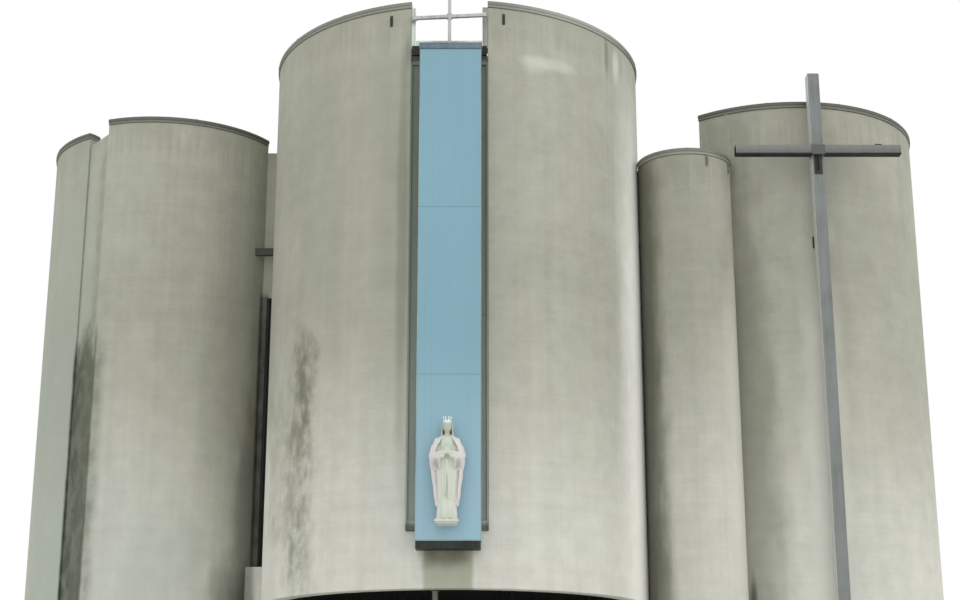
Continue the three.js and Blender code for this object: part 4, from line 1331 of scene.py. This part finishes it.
def make_statue():
    """The figure is built about its own foot, then set down on its plinth."""
    figure = piece("statue_figure", build_figure, white_stone, smooth=70,
                   replaces=("statue",))
    united(figure, 0.0085, 2)
    parts = [figure]
    for name, build in (("head", build_head), ("veil", build_veil), ("crown", build_crown)):
        parts.append(piece("statue_" + name, build, white_stone, smooth=50))
    place = Matrix.Translation((STATUE_X, STATUE_Y, STATUE_BASE + 0.0004)) @ Matrix.Scale(STATUE_SCALE, 4)
    for made in parts:
        made.data.transform(place)

    def build_plinth(bm):
        front, back = PANEL_FRONT - PLINTH_DEPTH, PANEL_FRONT - 0.0006
        top = (STATUE_X, 0.0, STATUE_BASE)
        add_box(bm, PLINTH_HALF, (front, back), (-0.052, 0.0), at=top)
        add_box(bm, PLINTH_HALF - 0.022, (front + 0.022, back), (-PLINTH_HEIGHT, -0.053), at=top)

    piece("statue_base", build_plinth, white_stone, 0.007, replaces=("statue_plinth",))


# Window strips between the shells
def make_strip_frame(name, left, right, low, high, bar_step, paint):
    """Frame and bars over a glass between two plan points. It stands out to the right of that line."""
    width = (right - left).length
    along = (right - left) / width
    outward = Vector((along.y, -along.x, 0.0))

    def build(bm):
        def add_bar(start, end, depth, foot, head):
            face = [left + along * start, left + along * end]
            add_prism(bm, face + [point + outward * depth for point in reversed(face)], foot, head)

        for start in (0.004, width - 0.004 - JAMB):
            add_bar(start, start + JAMB, 0.065, low, high)
        for level in (low, high - JAMB):
            add_bar(JAMB + 0.005, width - JAMB - 0.005, 0.060, level, level + JAMB)
        for level in steps(low, high, bar_step)[1:-1]:
            add_bar(JAMB + 0.005, width - JAMB - 0.005, 0.045, level - 0.022, level + 0.022)
        if width > 0.75:
            add_bar(width / 2 - 0.02, width / 2 + 0.02, 0.040, low + JAMB + 0.001, high - JAMB - 0.001)

    piece(name + "_frame", build, paint, 0.004)


def make_window_frames():
    names = ("right_strip", "back_strip_right", "back_strip_left", "left_back_strip")
    for name, first, second in zip(names, SHELLS, SHELLS[1:]):
        make_strip_frame(name, *strip_ends(first, second, 0.138), SILL, HEAD, 1.25, frame_paint)
    left, right = [Vector((x, NOTCH_Y + 0.078, 0.0)) for x in (SLIT_LEFT, NOTCH_RIGHT - 0.02)]
    make_strip_frame("notch_strip", left, right, NOTCH_SILL, NOTCH_HEAD, 10.0, black_grime_and_shade)


# Porch and entrance
def make_porch_ceiling():
    """Narrow near-black boards across the underside of the porch ceiling, their darkness painted shade, and a
    lamp.
    """
    inside = TOWER.radius - WALL - 0.004
    board, gap = 0.145, 0.008

    def build(bm):
        for index in range(int(2 * inside / (board + gap))):
            left = index * (board + gap) + gap - inside
            widest = max(abs(left), abs(left + board))
            reach = math.sqrt(max(0.0, inside ** 2 - widest ** 2))
            if reach >= 0.35:
                add_box(bm, (left, left + board), (0.01 - reach, SCREEN_FRONT - 0.01), (-0.022, -0.0006),
                        at=(TOWER.x, 0.0, CEILING_LOW))

    def build_lamp(bm):
        low = CEILING_LOW - 0.022
        rounds = ((low, 0.012, 0.074), (low - 0.0125, 0.207, 0.055), (low - 0.22, 0.015, 0.060))
        for top, depth, radius in rounds:
            add_round(bm, (-0.84, -3.10, top - depth / 2), radius, depth, segments=28)

    piece("porch_boards", build, shade_black_boards, 0.003)
    piece("porch_lamp", build_lamp, grey_metal, 0.003)


def make_entrance():
    """Doors with rails, handles and hinges, and a bead round each pane of the screen."""
    front, back = SCREEN_FRONT + 0.032, SCREEN_BACK - 0.032
    low, high = FLOOR_TOP + 0.006, DOOR_HEAD - 0.001
    near, far = 0.004, 1.049
    middle = (TOWER.x, 0.0, 0.0)
    for name, side in SIDES:

        def span(start, end):
            return (side * start, side * end)

        def build(bm):
            rail = span(near + DOOR_STILE + 0.001, far - DOOR_STILE - 0.001)
            add_boxes(bm, middle, (span(near, far), (front + 0.010, back - 0.002), (low, high)),
                      (span(near, near + DOOR_STILE), (front, back), (low, high)),
                      (span(far - DOOR_STILE, far), (front, back), (low, high)),
                      (rail, (front, back), (low, low + 0.22)), (rail, (front, back), (1.18, 1.32)),
                      (rail, (front, back), (high - 0.13, high)))
            boards = steps(near + DOOR_STILE + 0.002, far - DOOR_STILE - 0.002, 0.11)
            for start, end in zip(boards, boards[1:]):
                board = (span(start + 0.003, end - 0.003), (front + 0.005, front + 0.012))
                add_boxes(bm, middle, (*board, (low + 0.221, 1.179)), (*board, (1.321, high - 0.131)))

        def build_furniture(bm):
            handle = (TOWER.x + side * (near + 0.055), front, 1.25)
            add_boxes(bm, handle, (0.018, (-0.006, 0.0), 0.27), (0.012, (-0.078, -0.055), 0.27),
                      (0.009, (-0.055, -0.006), (0.221, 0.239)), (0.009, (-0.055, -0.006), (-0.239, -0.221)))
            add_box(bm, span(near + 0.02, far - 0.02), (front - 0.003, front), (0.17, 0.35), at=middle)
            for z in (0.45, 1.4, 2.35):
                add_box(bm, span(far - 0.012, far + 0.03), (-0.012, 0.004), 0.06, at=(TOWER.x, front, z))

        piece(f"door_leaf_{name}", build, timber, 0.003, replaces=(f"door_{name}",))
        piece(f"door_furniture_{name}", build_furniture, light_metal, 0.003)

    def build_beads(bm):
        over_door = (DOOR_HEAD + 0.10, CEILING_LOW - 0.1004)
        rows = ((FLOOR_TOP + 0.10, DOOR_HEAD), over_door)
        panes = [(bay, row) for bay in SIDE_BAYS for row in rows]
        panes.append(((0.05, 1.05), over_door))
        depth = (SCREEN_BACK - 0.018, SCREEN_BACK - 0.001)
        for _, side in SIDES:
            for (start, end), (foot, head) in panes:
                upright = (foot + 0.001, head - 0.001)
                level = (side * (start + BEAD + 0.002), side * (end - BEAD - 0.002))
                for x in (start + 0.001, end - BEAD - 0.001):
                    add_box(bm, (side * x, side * (x + BEAD)), depth, upright, at=middle)
                for z in (foot + 0.001, head - BEAD - 0.001):
                    add_box(bm, level, depth, (z, z + BEAD), at=middle)

    piece("entrance_beads", build_beads, frame_paint, 0.002)


# Roofs: felt turned up at the walls, and rain outlets
def make_roof_details():
    slot = [across(TOWER, SLOT_X + side * SLOT_HALF)[1] for side in (1, -1)]
    runs = [(TOWER, 0.010, TOWER_ROOF, 15.45, slot[0] + 0.2, 359.8 + slot[1]),
            (TURRET, 0.010, TURRET_TOP - 0.29, TURRET_TOP - 0.16, 0.0, 357.0)]
    # The felt of the front shells keeps clear of the turret and of the notch
    for shell in SHELLS:
        start = -18.0 if shell is RIGHT_FRONT else shell.start + 1.0
        end = 56.0 if shell is LEFT_FRONT else shell.end - 1.0
        runs.append((shell, FELT_THICK, NAVE_ROOF, NAVE_ROOF + FELT_HEIGHT, start, end))

    def build(bm):
        for shell, thick, roof, high, start, end in runs:
            outer, inner = shell.inner - 0.002, shell.inner - thick
            section = [(inner, roof + 0.0005), (outer, roof + 0.0005), (outer, high),
                       (inner, high + 0.002 - thick)]
            add_swept(bm, shell, section, radial(start, end, 3.0), shell is TURRET)

    def build_outlets(bm):
        for x, y, z in ((TOWER.x + 1.9, 1.9, TOWER_ROOF), (6.9, 4.4, NAVE_ROOF), (-7.0, 4.6, NAVE_ROOF),
                        (-0.1, 10.6, NAVE_ROOF)):
            add_round(bm, (x, y, z + 0.008), 0.17, 0.016, 0.165)
            add_round(bm, (x, y, z + 0.128), 0.105, 0.02, 0.05)
            for angle in around(12):
                rib = (x + 0.085 * math.cos(angle), y + 0.085 * math.sin(angle), z + 0.07)
                add_box(bm, 0.01, 0.005, 0.05, at=rib, turn=Matrix.Rotation(angle, 4, "Z"))

    piece("roof_upstands", build, felt_strip, smooth=40)
    piece("roof_outlets", build_outlets, dark_steel, 0.002)


def make_hooks():
    """Small dark hooks on the walls under the copings."""
    places = ((TOWER, -18.9, 16.20), (TOWER, 14.2, 16.20), (TURRET, 64.0, 13.97), (TURRET, 22.0, 13.97))

    def build(bm):
        for shell, angle, level in places:
            plate = shell.at(shell.radius + 0.006, angle, level - 0.12)
            add_box(bm, 0.0275, 0.006, 0.12, at=plate, turn=Matrix.Rotation(math.radians(angle), 4, "Z"))
            bend = []
            for share in steps(0.0, 1.0, 1 / 6):
                out = shell.radius + 0.012 + 0.06 * math.sin(math.pi * share)
                bend.append(shell.at(out, angle, level - 0.05 - 0.15 * share))
            for start, end in zip(bend, bend[1:]):
                add_limb(bm, start, end, 0.010, 0.010)

    piece("wall_hooks", build, channel_paint, smooth=50)


def dress_plain_pieces():
    """The CAD pieces that stay as they are get their materials."""
    finishes = (
        (roofing, "nave_roof tower_roof turret_roof"),
        (floor_finish, "floor_slab"),
        (shade_black_boards, "porch_ceiling"),
        (concrete_left, "notch_pier"),
        (frame_paint, "entrance_frame"),
        (tie_metal, "notch_tie"),
        (slit_glass, "notch_window"),
        (glass_dark, "entrance_glass right_window back_window_right back_window_left left_back_window"),
    )
    for material, names in finishes:
        for name in names.split():
            if not nodes[name].material_slots:
                nodes[name].data.materials.append(material)
            for slot in nodes[name].material_slots:
                slot.material = material


# Studio: pale floor, white surroundings, one broad soft light from the front right
def add_object(name, data):
    made = bpy.data.objects.new(name, data)
    bpy.context.scene.collection.objects.link(made)
    return made


def make_studio():
    bm = bmesh.new()
    bmesh.ops.create_grid(bm, x_segments=1, y_segments=1, size=FLOOR_HALF)
    mesh = bpy.data.meshes.new("studio_floor")
    bm.to_mesh(mesh)
    bm.free()
    look = Look("studio_floor", 0.9)
    mesh.materials.append(look.finished(look.mix(look.noise(0.2, 2.0), (232, 232, 230), (240, 240, 238))))
    floor = add_object("studio_floor", mesh)
    floor.location = (0.0, 4.0, -0.002)

    world = bpy.data.worlds.new("white_surroundings")
    world.use_nodes = True
    background = world.node_tree.nodes["Background"]
    background.inputs["Color"].default_value = (1.0, 1.0, 1.0, 1.0)
    background.inputs["Strength"].default_value = 1.0
    bpy.context.scene.world = world

    lamp = bpy.data.lights.new("soft_key", "SUN")
    lamp.energy = SUN_STRENGTH
    lamp.angle = math.radians(SUN_SOFTNESS)
    add_object("soft_key", lamp).rotation_euler = [math.radians(angle) for angle in SUN_TURN]

    lens = bpy.data.cameras.new("camera")
    lens.lens = CAMERA_LENS
    lens.sensor_width = 36.0
    lens.clip_end = 400.0
    camera = add_object("camera", lens)
    camera.location = CAMERA_PLACE
    camera.rotation_euler = (math.radians(90 + CAMERA_TILT), 0.0, 0.0)
    bpy.context.scene.camera = camera
    bpy.context.scene.view_settings.view_transform = "Standard"


make_studio()
dress_plain_pieces()
make_tower()
make_turret()
make_shells()
make_left_front()
make_copings()
make_panel()
make_channels()
make_slot_flashings()
make_small_cross()
make_steel_cross()
make_statue()
make_window_frames()
make_porch_ceiling()
make_entrance()
make_roof_details()
make_hooks()
